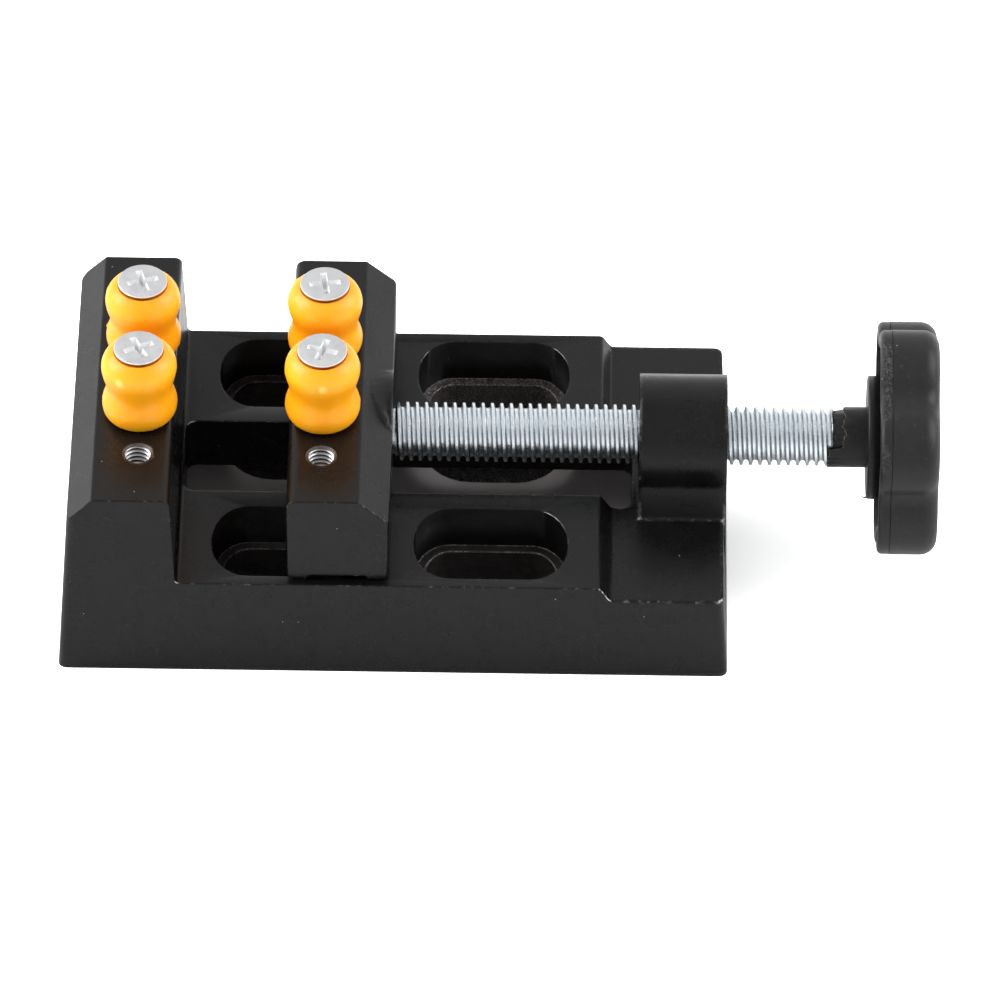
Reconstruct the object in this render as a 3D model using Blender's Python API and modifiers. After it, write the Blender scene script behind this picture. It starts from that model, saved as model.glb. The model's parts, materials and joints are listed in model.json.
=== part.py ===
# Mini bench vise: a die-cast base with a fixed jaw, a sliding jaw drawn along a channel by a
# captive screw, a six-lobed knob, and plastic pegs screwed to the tops of both jaws.
#
# All lengths are in metres. X runs along the vise from the fixed jaw to the knob, Y runs across
# it and Z is up. The origin is on the table, under the middle of the whole vise.

import math

import bmesh
import bpy
from mathutils import Matrix, Vector

# Clearances and cutters
GAP = 0.0003                  # between pieces that rest on, or slide along, each other
OVERRUN = 0.002               # how far a cutter reaches past the face it opens
BLEND = 0.001                 # how deep a joined shape is sunk into its neighbour

# Base casting, outside
BASE_LENGTH = 0.0884
BASE_WIDTH = 0.0514
BASE_DRAFT = math.radians(3.5)
BASE_CORNER_RADIUS = 0.0011
EDGE_RADIUS = 0.0004
DECK_HEIGHT = 0.01475
LOWER_DECK_HEIGHT = 0.0127
LOWER_DECK_LENGTH = 0.0157
STEP_RUN = 0.0013
STEP_RADIUS = 0.0007

# Jaws
JAW_HEIGHT = 0.0286
FIXED_JAW_LENGTH = 0.0150     # at the top, from the casting's end to the gripping face
FIXED_JAW_TOP_INSET = 0.0049  # from the casting's end to the flat top
FIXED_CHAMFER_DROP = 0.0036
FIXED_FACE_LEAN = 0.0006
FIXED_FACE_FILLET = 0.0006
FIXED_FACE_RADIUS = 0.0010    # along the top of the gripping face
MOVING_JAW_LENGTH = 0.0135
MOVING_JAW_WIDTH = 0.0478
MOVING_JAW_DRAFT = math.radians(0.8)
MOVING_JAW_OPENING = 0.01525  # between the tops of the gripping faces, as photographed
MOVING_CHAMFER_RUN = 0.0040
MOVING_CHAMFER_DROP = 0.0036
MOVING_FACE_RADIUS = 0.0013
JAW_CORNER_RADIUS = 0.0009
FOOT_CORNER_RADIUS = 0.0009
FOOT_LENGTH = 0.0024
FOOT_RELIEF = 0.0006
FOOT_SLOPE = 0.0008
WING_WALL = 0.0021
WING_POCKET_DEPTH = 0.0026
WING_POCKET_START = 0.0090    # from the mid-plane

# Holes for the pegs, four in the top of each jaw
PEG_ROW_INSET = 0.0044        # from the gripping face
INNER_HOLE_OFFSET = 0.00653
OUTER_HOLE_OFFSET = 0.0148
PEG_HOLE_DEPTH = 0.0100

# Screw boss on the base and its round shape on the moving jaw
AXIS_HEIGHT = 0.01965
BOSS_RADIUS = 0.0081
BOSS_LENGTH = 0.0116
BOSS_INSET = 0.0004           # from the casting's end at the table to the boss's outer face
BOSS_FOOT_HEIGHT = 0.0050
BOSS_FLARE = math.radians(16.0)
JAW_BOSS_LENGTH = 0.0055

# Channel, its lips and the hollow under the deck
CHANNEL_WIDTH = 0.0136
CHANNEL_INSET = 0.0004        # from the foot of the fixed jaw's face
CHANNEL_WEB = 0.0009          # from the channel's end to the boss
CHANNEL_CORNER_RADIUS = 0.0015
LIP_THICKNESS = 0.0023
LIP_BOTTOM = 0.00675
DECK_THICKNESS = 0.0030
WALL = 0.0026
JAW_RIB = 0.0024
JAW_HOLLOW_HEIGHT = 0.0165
END_HOLLOW_HEIGHT = 0.0092
END_HOLLOW_WEB = 0.0022
BOSS_HOLLOW_WIDTH = 0.0124

# Counterbored slots through the deck, two each side
SLOT_LENGTH = 0.0203
SLOT_WIDTH = 0.0134
SLOT_CORNER_RUN = 0.0048      # along the slot, and across it below: its ends are elliptical
SLOT_CORNER_SPAN = 0.0063
SLOT_OFFSET = 0.01645         # from the mid-plane
SLOT_PITCH = 0.0266
SLOT_MIDDLE = -0.00055        # middle of the pair, from the casting's middle
LEDGE_DEPTH = 0.0065
LEDGE_WIDTH = 0.00134
COLLAR_WALL = 0.00125
COLLAR_BOTTOM = 0.0026
THROAT_COLLAR_LENGTH = 0.0188
THROAT_COLLAR_CORNER = 0.0065

# Tongue under the moving jaw, its pocket and the guide plate
TONGUE_INSET = 0.00055        # from the jaw's faces
POCKET_LENGTH = 0.0027
BEARING_WALL = 0.00385
POCKET_CLEARANCE = 0.0006     # round the clip
PLATE_LENGTH = 0.0120
PLATE_THICKNESS = 0.0020
PLATE_CORNER_RADIUS = 0.0020
PLATE_SCREW_INSET = 0.0032
PLATE_SCREW_OFFSET = 0.0033
PLATE_SCREW_RADIUS = 0.00135
PLATE_SCREW_HEAD_RADIUS = 0.00275
PLATE_SCREW_HEAD_HEIGHT = 0.0014
PLATE_SCREW_LENGTH = 0.0098

# Lead screw and what holds its end in the jaw
SCREW_RADIUS = 0.0039         # over the thread's crests
SCREW_END_CHAMFER = 0.0005
THREAD_LENGTH = 0.0568
JOURNAL_RADIUS = 0.0030
GROOVE_RADIUS = 0.0022
STUB_LENGTH = 0.0004
TANG_RADIUS = 0.0027
WASHER_RADIUS = 0.0045
WASHER_THICKNESS = 0.0005
CLIP_RADIUS = 0.0046
CLIP_THICKNESS = 0.0006
CLIP_MOUTH = math.radians(70.0)

# Knob
SLEEVE_RADIUS = 0.00405
SLEEVE_LENGTH = 0.0054
COLLAR_RADIUS = 0.0082
COLLAR_THICKNESS = 0.0016
COLLAR_STANDOUT = 0.0014      # from the collar's outer face to the back of the rim
RIM_LENGTH = 0.0079
RIM_WALL = 0.0019
RIM_FRONT_WALL = 0.0025
RIM_FRONT_RADIUS = 0.0022
RIM_BACK_RADIUS = 0.0008
LOBE_COUNT = 6
LOBE_RADIUS = 0.0066
LOBE_OFFSET = 0.0096
LOBE_VALLEY_RADIUS = 0.0030
LOBE_TURN = math.radians(5.3)  # first lobe, from straight up towards +Y
HUB_RADIUS = 0.0060
RIB_THICKNESS = 0.0014
RIB_INSET = 0.0020            # from the back of the rim

# Pegs and their screws
PEG_HEIGHT = 0.0107
PEG_RADIUS = 0.00495
PEG_WAIST_RADIUS = 0.00435
PEG_FACE_RADIUS = 0.0041
PEG_FOOT_RADIUS = 0.00425
PEG_LOWER_BULGE = 0.0017       # above the peg's foot
PEG_WAIST = 0.0047
PEG_WAIST_SHARPNESS = 0.6     # 0 is a wave, 1 is two round beads that meet in a groove
PEG_UPPER_BULGE = 0.00775
PEG_SHANK_RADIUS = 0.0018
PEG_HEAD_RADIUS = 0.00325
PEG_HEAD_RIM = 0.00035
PEG_HEAD_CONE = 0.00145
PEG_SCREW_REACH = 0.0088      # into the jaw

# How finely round shapes are drawn
ROUND_STEPS = 36
SMALL_ROUND_STEPS = 24
CORNER_STEPS = 5
SLOT_CORNER_STEPS = 7
PEG_STEPS = 32
LOBE_STEPS = 9
PEG_CURVE_STEPS = 4

# Places that follow from the sizes above, along X
BASE_HALF = BASE_LENGTH / 2
FIXED_FACE_TOP = -BASE_HALF + FIXED_JAW_LENGTH
FIXED_FACE_FOOT = FIXED_FACE_TOP + FIXED_FACE_LEAN
MOVING_FACE = FIXED_FACE_TOP + MOVING_JAW_OPENING
MOVING_BACK = MOVING_FACE + MOVING_JAW_LENGTH
BOSS_END = BASE_HALF - BOSS_INSET
BOSS_START = BOSS_END - BOSS_LENGTH
CHANNEL_START = FIXED_FACE_FOOT + CHANNEL_INSET
CHANNEL_END = BOSS_START - CHANNEL_WEB
THREAD_START = MOVING_BACK + GAP
THREAD_END = THREAD_START + THREAD_LENGTH
SLEEVE_START = THREAD_END + GAP
COLLAR_START = SLEEVE_START + SLEEVE_LENGTH
RIM_BACK = COLLAR_START + COLLAR_STANDOUT
RIM_FRONT = RIM_BACK + RIM_LENGTH
POCKET_END = MOVING_BACK - BEARING_WALL
POCKET_START = POCKET_END - POCKET_LENGTH
WASHER_END = POCKET_END - GAP
CLIP_END = WASHER_END - WASHER_THICKNESS - GAP
GROOVE_END = CLIP_END + GAP
GROOVE_START = CLIP_END - CLIP_THICKNESS - GAP
TONGUE_BOTTOM = LIP_BOTTOM
PLATE_TOP = TONGUE_BOTTOM - GAP
PLATE_BOTTOM = PLATE_TOP - PLATE_THICKNESS
PLATE_START = MOVING_FACE + TONGUE_INSET
PLATE_HALF = SLOT_OFFSET - SLOT_WIDTH / 2 - COLLAR_WALL - GAP
PEG_BASE = JAW_HEIGHT + GAP
PEG_TOP = PEG_BASE + PEG_HEIGHT
PEG_BORE_RADIUS = PEG_SHANK_RADIUS + GAP

# The casting's middle, seen from the middle of the whole vise
BASE_MIDDLE = -(RIM_FRONT - BASE_HALF) / 2


def clear_scene():
    for obj in list(bpy.data.objects):
        bpy.data.objects.remove(obj, do_unlink=True)
    for name in ("mini_bench_vise", "cutters"):
        old = bpy.data.collections.get(name)
        if old:
            bpy.data.collections.remove(old)
        bpy.context.scene.collection.children.link(bpy.data.collections.new(name))


def make_material(name, color, roughness, metallic):
    material = bpy.data.materials.new(name)
    material.use_nodes = True
    shader = material.node_tree.nodes["Principled BSDF"]
    shader.inputs["Base Color"].default_value = (*color, 1.0)
    shader.inputs["Roughness"].default_value = roughness
    shader.inputs["Metallic"].default_value = metallic
    material.diffuse_color = (*color, 1.0)
    return material


def add_object(name, mesh, material=None):
    """A part when it has a material, and otherwise a cutter or a shape to join."""
    obj = bpy.data.objects.new(name, mesh)
    if material:
        mesh.materials.clear()
        mesh.materials.append(material)
        bpy.data.collections["mini_bench_vise"].objects.link(obj)
    else:
        obj.display_type = "WIRE"
        obj.hide_render = True
        bpy.data.collections["cutters"].objects.link(obj)
    return obj


def smooth(mesh, angle=math.radians(32.0)):
    mesh.shade_smooth()
    mesh.set_sharp_from_angle(angle=angle)


def mesh_from(bm, name):
    """Mesh of a closed shape, with all its faces pointing outwards."""
    bmesh.ops.recalc_face_normals(bm, faces=bm.faces)
    if bm.calc_volume(signed=True) < 0:
        bmesh.ops.reverse_faces(bm, faces=bm.faces)
    mesh = bpy.data.meshes.new(name)
    bm.to_mesh(mesh)
    bm.free()
    return mesh


def rounded_outline(corners, steps=CORNER_STEPS):
    """Points of a closed outline from corners (x, y, radius), each turned into an arc."""
    points = []
    count = len(corners)
    for index in range(count):
        x, y, radius = corners[index]
        here = Vector((x, y))
        back = Vector(corners[index - 1][:2]) - here
        ahead = Vector(corners[(index + 1) % count][:2]) - here
        if radius == 0:
            points.append(here)
            continue
        half = back.angle(ahead) / 2
        middle = here + (back.normalized() + ahead.normalized()).normalized() * radius / math.sin(half)
        start = here + back.normalized() * radius / math.tan(half) - middle
        end = here + ahead.normalized() * radius / math.tan(half) - middle
        sweep = start.angle_signed(end)
        for step in range(steps + 1):
            turn = Matrix.Rotation(-sweep * step / steps, 2)
            points.append(middle + turn @ start)
    return points


def rounded_rectangle(low_x, high_x, low_y, high_y, radius):
    corners = [(low_x, low_y, radius), (high_x, low_y, radius), (high_x, high_y, radius), (low_x, high_y, radius)]
    return rounded_outline(corners)


def prism(name, points, low, high, axis="Z"):
    """Mesh of an outline drawn in the plane across the axis and extruded from low to high.

    The outline's two coordinates are (X, Y) for axis Z, (X, Z) for axis Y and (Y, Z) for axis X.
    """
    bm = bmesh.new()
    face = bm.faces.new([bm.verts.new((x, y, low)) for x, y in points])
    swept = bmesh.ops.extrude_face_region(bm, geom=[face])
    tops = [item for item in swept["geom"] if isinstance(item, bmesh.types.BMVert)]
    bmesh.ops.translate(bm, verts=tops, vec=(0, 0, high - low))
    if axis == "Y":
        for vert in bm.verts:
            vert.co = Vector((vert.co.x, vert.co.z, vert.co.y))
    if axis == "X":
        for vert in bm.verts:
            vert.co = Vector((vert.co.z, vert.co.x, vert.co.y))
    return mesh_from(bm, name)


def taper(mesh, draft, foot):
    """Leans the four sides of an upright block inwards above the height called foot."""
    for vert in mesh.vertices:
        shift = math.tan(draft) * (vert.co.z - foot)
        vert.co.x -= math.copysign(shift, vert.co.x)
        vert.co.y -= math.copysign(shift, vert.co.y)


def cylinder(name, radius, low, high, axis="Z", steps=ROUND_STEPS, end_radius=None):
    """Mesh of a round bar, or of a cone when the radius at its high end differs."""
    bm = bmesh.new()
    tip = radius if end_radius is None else end_radius
    bmesh.ops.create_cone(
        bm, cap_ends=True, segments=steps, radius1=radius, radius2=tip, depth=high - low)
    bmesh.ops.translate(bm, verts=bm.verts, vec=(0, 0, (low + high) / 2))
    if axis == "X":
        bmesh.ops.rotate(bm, verts=bm.verts, cent=(0, 0, 0), matrix=Matrix.Rotation(math.pi / 2, 3, "Y"))
    return mesh_from(bm, name)


def turned(name, profile, material, steps=SMALL_ROUND_STEPS, axis="Z"):
    """A turned piece: its half profile (radius, height), top to bottom, swept by a Screw modifier."""
    bm = bmesh.new()
    verts = [bm.verts.new((radius, 0, height)) for radius, height in profile]
    for index in range(len(verts) - 1):
        bm.edges.new((verts[index], verts[index + 1]))
    if profile[0][0] > 0 and profile[-1][0] > 0:
        bm.edges.new((verts[-1], verts[0]))
    mesh = bpy.data.meshes.new(name)
    bm.to_mesh(mesh)
    bm.free()
    obj = add_object(name, mesh, material)
    screw = obj.modifiers.new("Turn", "SCREW")
    screw.axis = "Z"
    screw.steps = steps
    screw.render_steps = steps
    screw.use_merge_vertices = True
    screw.merge_threshold = 0.00001
    screw.use_smooth_shade = True
    if axis == "X":
        obj.rotation_euler = (0, math.pi / 2, 0)
    return obj


def combine(obj, others, operation):
    """Boolean with each of the other shapes in turn, which move with the object they shape."""
    for other in others:
        other.parent = obj
        modifier = obj.modifiers.new(other.name, "BOOLEAN")
        modifier.object = other
        modifier.operation = operation
        modifier.solver = "EXACT"


def arch(radius, axis_height, foot, flare=0.0, steps=ROUND_STEPS // 2):
    """Outline (Y, Z) of a round top whose sides run down to the foot, spreading by the flare angle."""
    side = radius * math.cos(flare)
    drop = axis_height - radius * math.sin(flare) - foot
    spread = side + drop * math.tan(flare)
    points = [(spread, foot)]
    for step in range(steps + 1):
        angle = -flare + (math.pi + 2 * flare) * step / steps
        points.append((radius * math.cos(angle), axis_height + radius * math.sin(angle)))
    points.append((-spread, foot))
    return points


def peg_holes(jaw, row_x, name):
    cutters = []
    for offset in (-OUTER_HOLE_OFFSET, -INNER_HOLE_OFFSET, INNER_HOLE_OFFSET, OUTER_HOLE_OFFSET):
        mesh = cylinder(
            name, PEG_BORE_RADIUS, JAW_HEIGHT - PEG_HOLE_DEPTH, JAW_HEIGHT + OVERRUN, steps=SMALL_ROUND_STEPS)
        hole = add_object(name, mesh)
        hole.location = (row_x, offset, 0)
        cutters.append(hole)
    combine(jaw, cutters, "DIFFERENCE")


def base_side_outline():
    """Side view (X, Z) of the casting: fixed jaw, deck, step down and lower deck."""
    chamfer_foot = JAW_HEIGHT - FIXED_CHAMFER_DROP
    chamfer_x = -BASE_HALF + math.tan(BASE_DRAFT) * chamfer_foot
    top_x = -BASE_HALF + FIXED_JAW_TOP_INSET
    slope = FIXED_CHAMFER_DROP / (top_x - chamfer_x)
    left = -BASE_HALF - OVERRUN
    right = BASE_HALF + OVERRUN
    step_foot = BASE_HALF - LOWER_DECK_LENGTH
    return rounded_outline([
        (left, -OVERRUN, 0),
        (right, -OVERRUN, 0),
        (right, LOWER_DECK_HEIGHT, 0),
        (step_foot, LOWER_DECK_HEIGHT, STEP_RADIUS),
        (step_foot - STEP_RUN, DECK_HEIGHT, STEP_RADIUS),
        (FIXED_FACE_FOOT, DECK_HEIGHT, FIXED_FACE_FILLET),
        (FIXED_FACE_TOP, JAW_HEIGHT, FIXED_FACE_RADIUS),
        (top_x, JAW_HEIGHT, EDGE_RADIUS),
        (left, JAW_HEIGHT - slope * (top_x - left), 0),
    ])


def hollow_section():
    """Cross-section (Y, Z) of the hollow under the deck, with a lip each side of the channel."""
    roof = DECK_HEIGHT - DECK_THICKNESS
    side = BASE_WIDTH / 2 - WALL
    lip = CHANNEL_WIDTH / 2 + LIP_THICKNESS
    return [
        (-side, -OVERRUN), (side, -OVERRUN), (side, roof), (lip, roof),
        (lip, LIP_BOTTOM), (-lip, LIP_BOTTOM), (-lip, roof), (-side, roof),
    ]


def make_base(material):
    outline = rounded_rectangle(
        -BASE_HALF, BASE_HALF, -BASE_WIDTH / 2, BASE_WIDTH / 2, BASE_CORNER_RADIUS)
    mesh = prism("base_casting", outline, 0, JAW_HEIGHT + OVERRUN)
    taper(mesh, BASE_DRAFT, 0)
    base = add_object("base_casting", mesh, material)
    reach = BASE_WIDTH / 2 + OVERRUN
    side_view = add_object("base_side_view", prism("base_side_view", base_side_outline(), -reach, reach, "Y"))
    combine(base, [side_view], "INTERSECT")

    boss = add_object("screw_boss", prism(
        "screw_boss", arch(BOSS_RADIUS, AXIS_HEIGHT, BOSS_FOOT_HEIGHT, BOSS_FLARE), BOSS_START, BOSS_END, "X"))
    combine(base, [boss], "UNION")

    hollow_start = CHANNEL_START - GAP
    hollow_end = CHANNEL_END + CHANNEL_WEB - GAP
    hollow = add_object("deck_hollow", prism("deck_hollow", hollow_section(), hollow_start, hollow_end, "X"))
    jaw_hollow = add_object("jaw_hollow", prism("jaw_hollow", rounded_rectangle(
        -BASE_HALF + WALL, hollow_start - JAW_RIB, -BASE_WIDTH / 2 + WALL, BASE_WIDTH / 2 - WALL,
        BASE_CORNER_RADIUS), -OVERRUN, JAW_HOLLOW_HEIGHT))
    end_hollows = []
    end_start = hollow_end + END_HOLLOW_WEB
    end_stop = BASE_HALF - WALL
    side = BASE_WIDTH / 2 - WALL
    inner = BOSS_RADIUS + BLEND
    for low, high in ((-side, -inner), (-BOSS_HOLLOW_WIDTH / 2, BOSS_HOLLOW_WIDTH / 2), (inner, side)):
        end_hollows.append(add_object("end_hollow", prism("end_hollow", rounded_rectangle(
            end_start, end_stop, low, high, BASE_CORNER_RADIUS), -OVERRUN, END_HOLLOW_HEIGHT)))
    combine(base, [hollow, jaw_hollow] + end_hollows, "DIFFERENCE")

    collars = []
    slots = []
    for side in (-1, 1):
        for along in (-1, 1):
            x = SLOT_MIDDLE + along * SLOT_PITCH / 2
            y = side * SLOT_OFFSET
            roof = DECK_HEIGHT - DECK_THICKNESS / 2
            mouth_collar = slot_outline(x, y, COLLAR_WALL)
            collars.append(add_object("mouth_collar", prism("mouth_collar", mouth_collar, LIP_BOTTOM, roof)))
            throat_collar = elliptical_outline(
                x, y, THROAT_COLLAR_LENGTH / 2, SLOT_WIDTH / 2 + COLLAR_WALL,
                THROAT_COLLAR_CORNER, THROAT_COLLAR_CORNER)
            collars.append(add_object("throat_collar", prism(
                "throat_collar", throat_collar, COLLAR_BOTTOM, roof - BLEND)))
            upper = slot_outline(x, y, 0)
            slots.append(add_object("slot_mouth", prism(
                "slot_mouth", upper, DECK_HEIGHT - LEDGE_DEPTH, DECK_HEIGHT + OVERRUN)))
            lower = slot_outline(x, y, -LEDGE_WIDTH)
            slots.append(add_object("slot_throat", prism(
                "slot_throat", lower, COLLAR_BOTTOM - OVERRUN, DECK_HEIGHT)))
    combine(base, collars, "UNION")
    channel = add_object("channel", prism("channel", rounded_rectangle(
        CHANNEL_START, CHANNEL_END, -CHANNEL_WIDTH / 2, CHANNEL_WIDTH / 2, CHANNEL_CORNER_RADIUS),
        -OVERRUN, DECK_HEIGHT + OVERRUN))
    combine(base, slots + [channel], "DIFFERENCE")

    bore = add_object("screw_bore", cylinder(
        "screw_bore", SCREW_RADIUS + GAP, BOSS_START - OVERRUN, BOSS_END + OVERRUN, "X"))
    bore.location = (0, 0, AXIS_HEIGHT)
    combine(base, [bore], "DIFFERENCE")
    peg_holes(base, FIXED_FACE_TOP - PEG_ROW_INSET, "fixed_peg_hole")
    base.location = (BASE_MIDDLE, 0, 0)
    return base


def elliptical_outline(x, y, half_length, half_width, run, span):
    """Outline round (x, y) whose four corners are quarter ellipses, run long and span wide."""
    points = []
    for quarter, (along, across) in enumerate(((1, 1), (-1, 1), (-1, -1), (1, -1))):
        for step in range(SLOT_CORNER_STEPS + 1):
            angle = math.pi / 2 * (quarter + step / SLOT_CORNER_STEPS)
            points.append((x + along * (half_length - run) + run * math.cos(angle),
                           y + across * (half_width - span) + span * math.sin(angle)))
    return points


def slot_outline(x, y, grow):
    return elliptical_outline(x, y, SLOT_LENGTH / 2 + grow, SLOT_WIDTH / 2 + grow,
                              SLOT_CORNER_RUN + grow, SLOT_CORNER_SPAN + grow)


def moving_side_outline(foot):
    """Side view (X, Z) of the moving jaw above its foot."""
    return rounded_outline([
        (MOVING_FACE, foot, FOOT_CORNER_RADIUS),
        (MOVING_BACK, foot, FOOT_CORNER_RADIUS),
        (MOVING_BACK, JAW_HEIGHT - MOVING_CHAMFER_DROP, EDGE_RADIUS),
        (MOVING_BACK - MOVING_CHAMFER_RUN, JAW_HEIGHT, EDGE_RADIUS),
        (MOVING_FACE, JAW_HEIGHT, MOVING_FACE_RADIUS),
    ])


def make_moving_jaw(material, carriage):
    foot = DECK_HEIGHT + GAP
    middle = (MOVING_FACE + MOVING_BACK) / 2
    half = MOVING_JAW_LENGTH / 2 + OVERRUN
    outline = rounded_rectangle(
        -MOVING_JAW_WIDTH / 2, MOVING_JAW_WIDTH / 2, foot - OVERRUN, JAW_HEIGHT + OVERRUN, 0)
    mesh = prism("moving_jaw", outline, -half, half, "X")
    for vert in mesh.vertices:
        shift = math.tan(MOVING_JAW_DRAFT) * (vert.co.z - foot)
        vert.co.y -= math.copysign(shift, vert.co.y)
        vert.co.x += middle
    jaw = add_object("moving_jaw", mesh, material)
    reach = MOVING_JAW_WIDTH / 2 + OVERRUN
    side_view = add_object("jaw_side_view", prism(
        "jaw_side_view", moving_side_outline(foot), -reach, reach, "Y"))
    combine(jaw, [side_view], "INTERSECT")

    boss = add_object("jaw_boss", prism("jaw_boss", arch(BOSS_RADIUS, AXIS_HEIGHT, foot + BLEND),
                                        MOVING_BACK - JAW_BOSS_LENGTH, MOVING_BACK, "X"))
    tongue_half = CHANNEL_WIDTH / 2 - GAP
    tongue = add_object("tongue", prism("tongue", rounded_rectangle(
        MOVING_FACE + TONGUE_INSET, MOVING_BACK - TONGUE_INSET, -tongue_half, tongue_half, 0),
        TONGUE_BOTTOM, foot + BLEND))
    combine(jaw, [boss, tongue], "UNION")

    pocket_radius = CLIP_RADIUS + POCKET_CLEARANCE
    pocket = add_object("clip_pocket", prism(
        "clip_pocket", arch(pocket_radius, AXIS_HEIGHT, TONGUE_BOTTOM - OVERRUN),
        POCKET_START, POCKET_END, "X"))
    journal = add_object("journal_bore", cylinder(
        "journal_bore", JOURNAL_RADIUS + GAP, POCKET_END - POCKET_LENGTH / 2, MOVING_BACK + OVERRUN, "X"))
    journal.location = (0, 0, AXIS_HEIGHT)
    cutters = [pocket, journal]
    wing_end = MOVING_JAW_WIDTH / 2 - WING_WALL
    for low, high in ((-wing_end, -WING_POCKET_START), (WING_POCKET_START, wing_end)):
        cutters.append(add_object("wing_pocket", prism("wing_pocket", rounded_rectangle(
            MOVING_FACE + WING_WALL, MOVING_BACK - WING_WALL, low, high, JAW_CORNER_RADIUS),
            foot - OVERRUN, foot + WING_POCKET_DEPTH)))
    relief = rounded_outline([
        (MOVING_FACE + FOOT_LENGTH - FOOT_SLOPE, foot - FOOT_RELIEF, 0),
        (MOVING_BACK - FOOT_LENGTH + FOOT_SLOPE, foot - FOOT_RELIEF, 0),
        (MOVING_BACK - FOOT_LENGTH - FOOT_SLOPE, foot + FOOT_RELIEF, 0),
        (MOVING_FACE + FOOT_LENGTH + FOOT_SLOPE, foot + FOOT_RELIEF, 0),
    ])
    for low, high in ((-reach, -wing_end + BLEND), (wing_end - BLEND, reach)):
        cutters.append(add_object("foot_relief", prism("foot_relief", relief, low, high, "Y")))
    for side in (-1, 1):
        hole = add_object("plate_screw_hole", cylinder(
            "plate_screw_hole", PLATE_SCREW_RADIUS + GAP, TONGUE_BOTTOM - OVERRUN,
            PLATE_BOTTOM + PLATE_SCREW_LENGTH + GAP, steps=SMALL_ROUND_STEPS))
        hole.location = (PLATE_START + PLATE_SCREW_INSET, side * PLATE_SCREW_OFFSET, 0)
        cutters.append(hole)
    combine(jaw, cutters, "DIFFERENCE")
    peg_holes(jaw, MOVING_FACE + PEG_ROW_INSET, "moving_peg_hole")
    jaw.parent = carriage
    return jaw


def make_guide_plate(material, screw_material, carriage):
    """Keeper under the channel's lips, between the slot collars, held to the tongue by two screws."""
    outline = rounded_rectangle(
        PLATE_START, PLATE_START + PLATE_LENGTH, -PLATE_HALF, PLATE_HALF, PLATE_CORNER_RADIUS)
    plate = add_object("guide_plate", prism("guide_plate", outline, PLATE_BOTTOM, PLATE_TOP), material)
    plate.parent = carriage
    cutters = []
    slope = (PLATE_SCREW_HEAD_RADIUS - PLATE_SCREW_RADIUS) / PLATE_SCREW_HEAD_HEIGHT
    for side, name in ((-1, "guide_plate_screw_near"), (1, "guide_plate_screw_far")):
        place = (PLATE_START + PLATE_SCREW_INSET, side * PLATE_SCREW_OFFSET, 0)
        hole = add_object("plate_hole", cylinder(
            "plate_hole", PLATE_SCREW_RADIUS + GAP, PLATE_BOTTOM - OVERRUN, PLATE_TOP + OVERRUN,
            steps=SMALL_ROUND_STEPS))
        sink = add_object("plate_countersink", cylinder(
            "plate_countersink", PLATE_SCREW_HEAD_RADIUS + GAP + slope * OVERRUN,
            PLATE_BOTTOM - OVERRUN, PLATE_BOTTOM + PLATE_SCREW_HEAD_HEIGHT,
            steps=SMALL_ROUND_STEPS, end_radius=PLATE_SCREW_RADIUS + GAP))
        for cutter in (hole, sink):
            cutter.location = place
            cutters.append(cutter)
        top = PLATE_BOTTOM + PLATE_SCREW_LENGTH
        screw = turned(name, [
            (0, top),
            (PLATE_SCREW_RADIUS, top),
            (PLATE_SCREW_RADIUS, PLATE_BOTTOM + PLATE_SCREW_HEAD_HEIGHT),
            (PLATE_SCREW_HEAD_RADIUS, PLATE_BOTTOM),
            (0, PLATE_BOTTOM),
        ], screw_material)
        screw.parent = carriage
        screw.location = place
    combine(plate, cutters, "DIFFERENCE")
    return plate


def make_lead_screw(material, spindle):
    """The shaft from the clip's groove to the tang inside the knob, drawn along its own axis."""
    tang_end = RIM_FRONT - RIM_FRONT_WALL - GAP
    end = GROOVE_START - STUB_LENGTH
    profile = [
        (0, tang_end),
        (TANG_RADIUS, tang_end),
        (TANG_RADIUS, THREAD_END),
        (SCREW_RADIUS - SCREW_END_CHAMFER, THREAD_END),
        (SCREW_RADIUS, THREAD_END - SCREW_END_CHAMFER),
        (SCREW_RADIUS, THREAD_START + SCREW_END_CHAMFER),
        (SCREW_RADIUS - SCREW_END_CHAMFER, THREAD_START),
        (JOURNAL_RADIUS, THREAD_START),
        (JOURNAL_RADIUS, GROOVE_END),
        (GROOVE_RADIUS, GROOVE_END),
        (GROOVE_RADIUS, GROOVE_START),
        (JOURNAL_RADIUS, GROOVE_START),
        (JOURNAL_RADIUS, end),
        (0, end),
    ]
    screw = turned("lead_screw", profile, material, steps=ROUND_STEPS, axis="X")
    screw.parent = spindle
    return screw


def make_washer(material, spindle):
    low = WASHER_END - WASHER_THICKNESS
    inner = JOURNAL_RADIUS + GAP
    profile = [(WASHER_RADIUS, WASHER_END), (WASHER_RADIUS, low), (inner, low), (inner, WASHER_END)]
    washer = turned("thrust_washer", profile, material, axis="X")
    washer.parent = spindle
    return washer


def make_clip(material, spindle):
    """Open ring sprung into the screw's groove, its mouth downwards."""
    inner = GROOVE_RADIUS + GAP
    start = -math.pi / 2 + CLIP_MOUTH / 2
    sweep = 2 * math.pi - CLIP_MOUTH
    steps = SMALL_ROUND_STEPS
    outer_arc = [(CLIP_RADIUS * math.cos(start + sweep * step / steps),
                  CLIP_RADIUS * math.sin(start + sweep * step / steps)) for step in range(steps + 1)]
    inner_arc = [(inner * math.cos(start + sweep * step / steps),
                  inner * math.sin(start + sweep * step / steps)) for step in range(steps, -1, -1)]
    mesh = prism("retaining_clip", outer_arc + inner_arc, CLIP_END - CLIP_THICKNESS, CLIP_END, "X")
    clip = add_object("retaining_clip", mesh, material)
    clip.parent = spindle
    return clip


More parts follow.
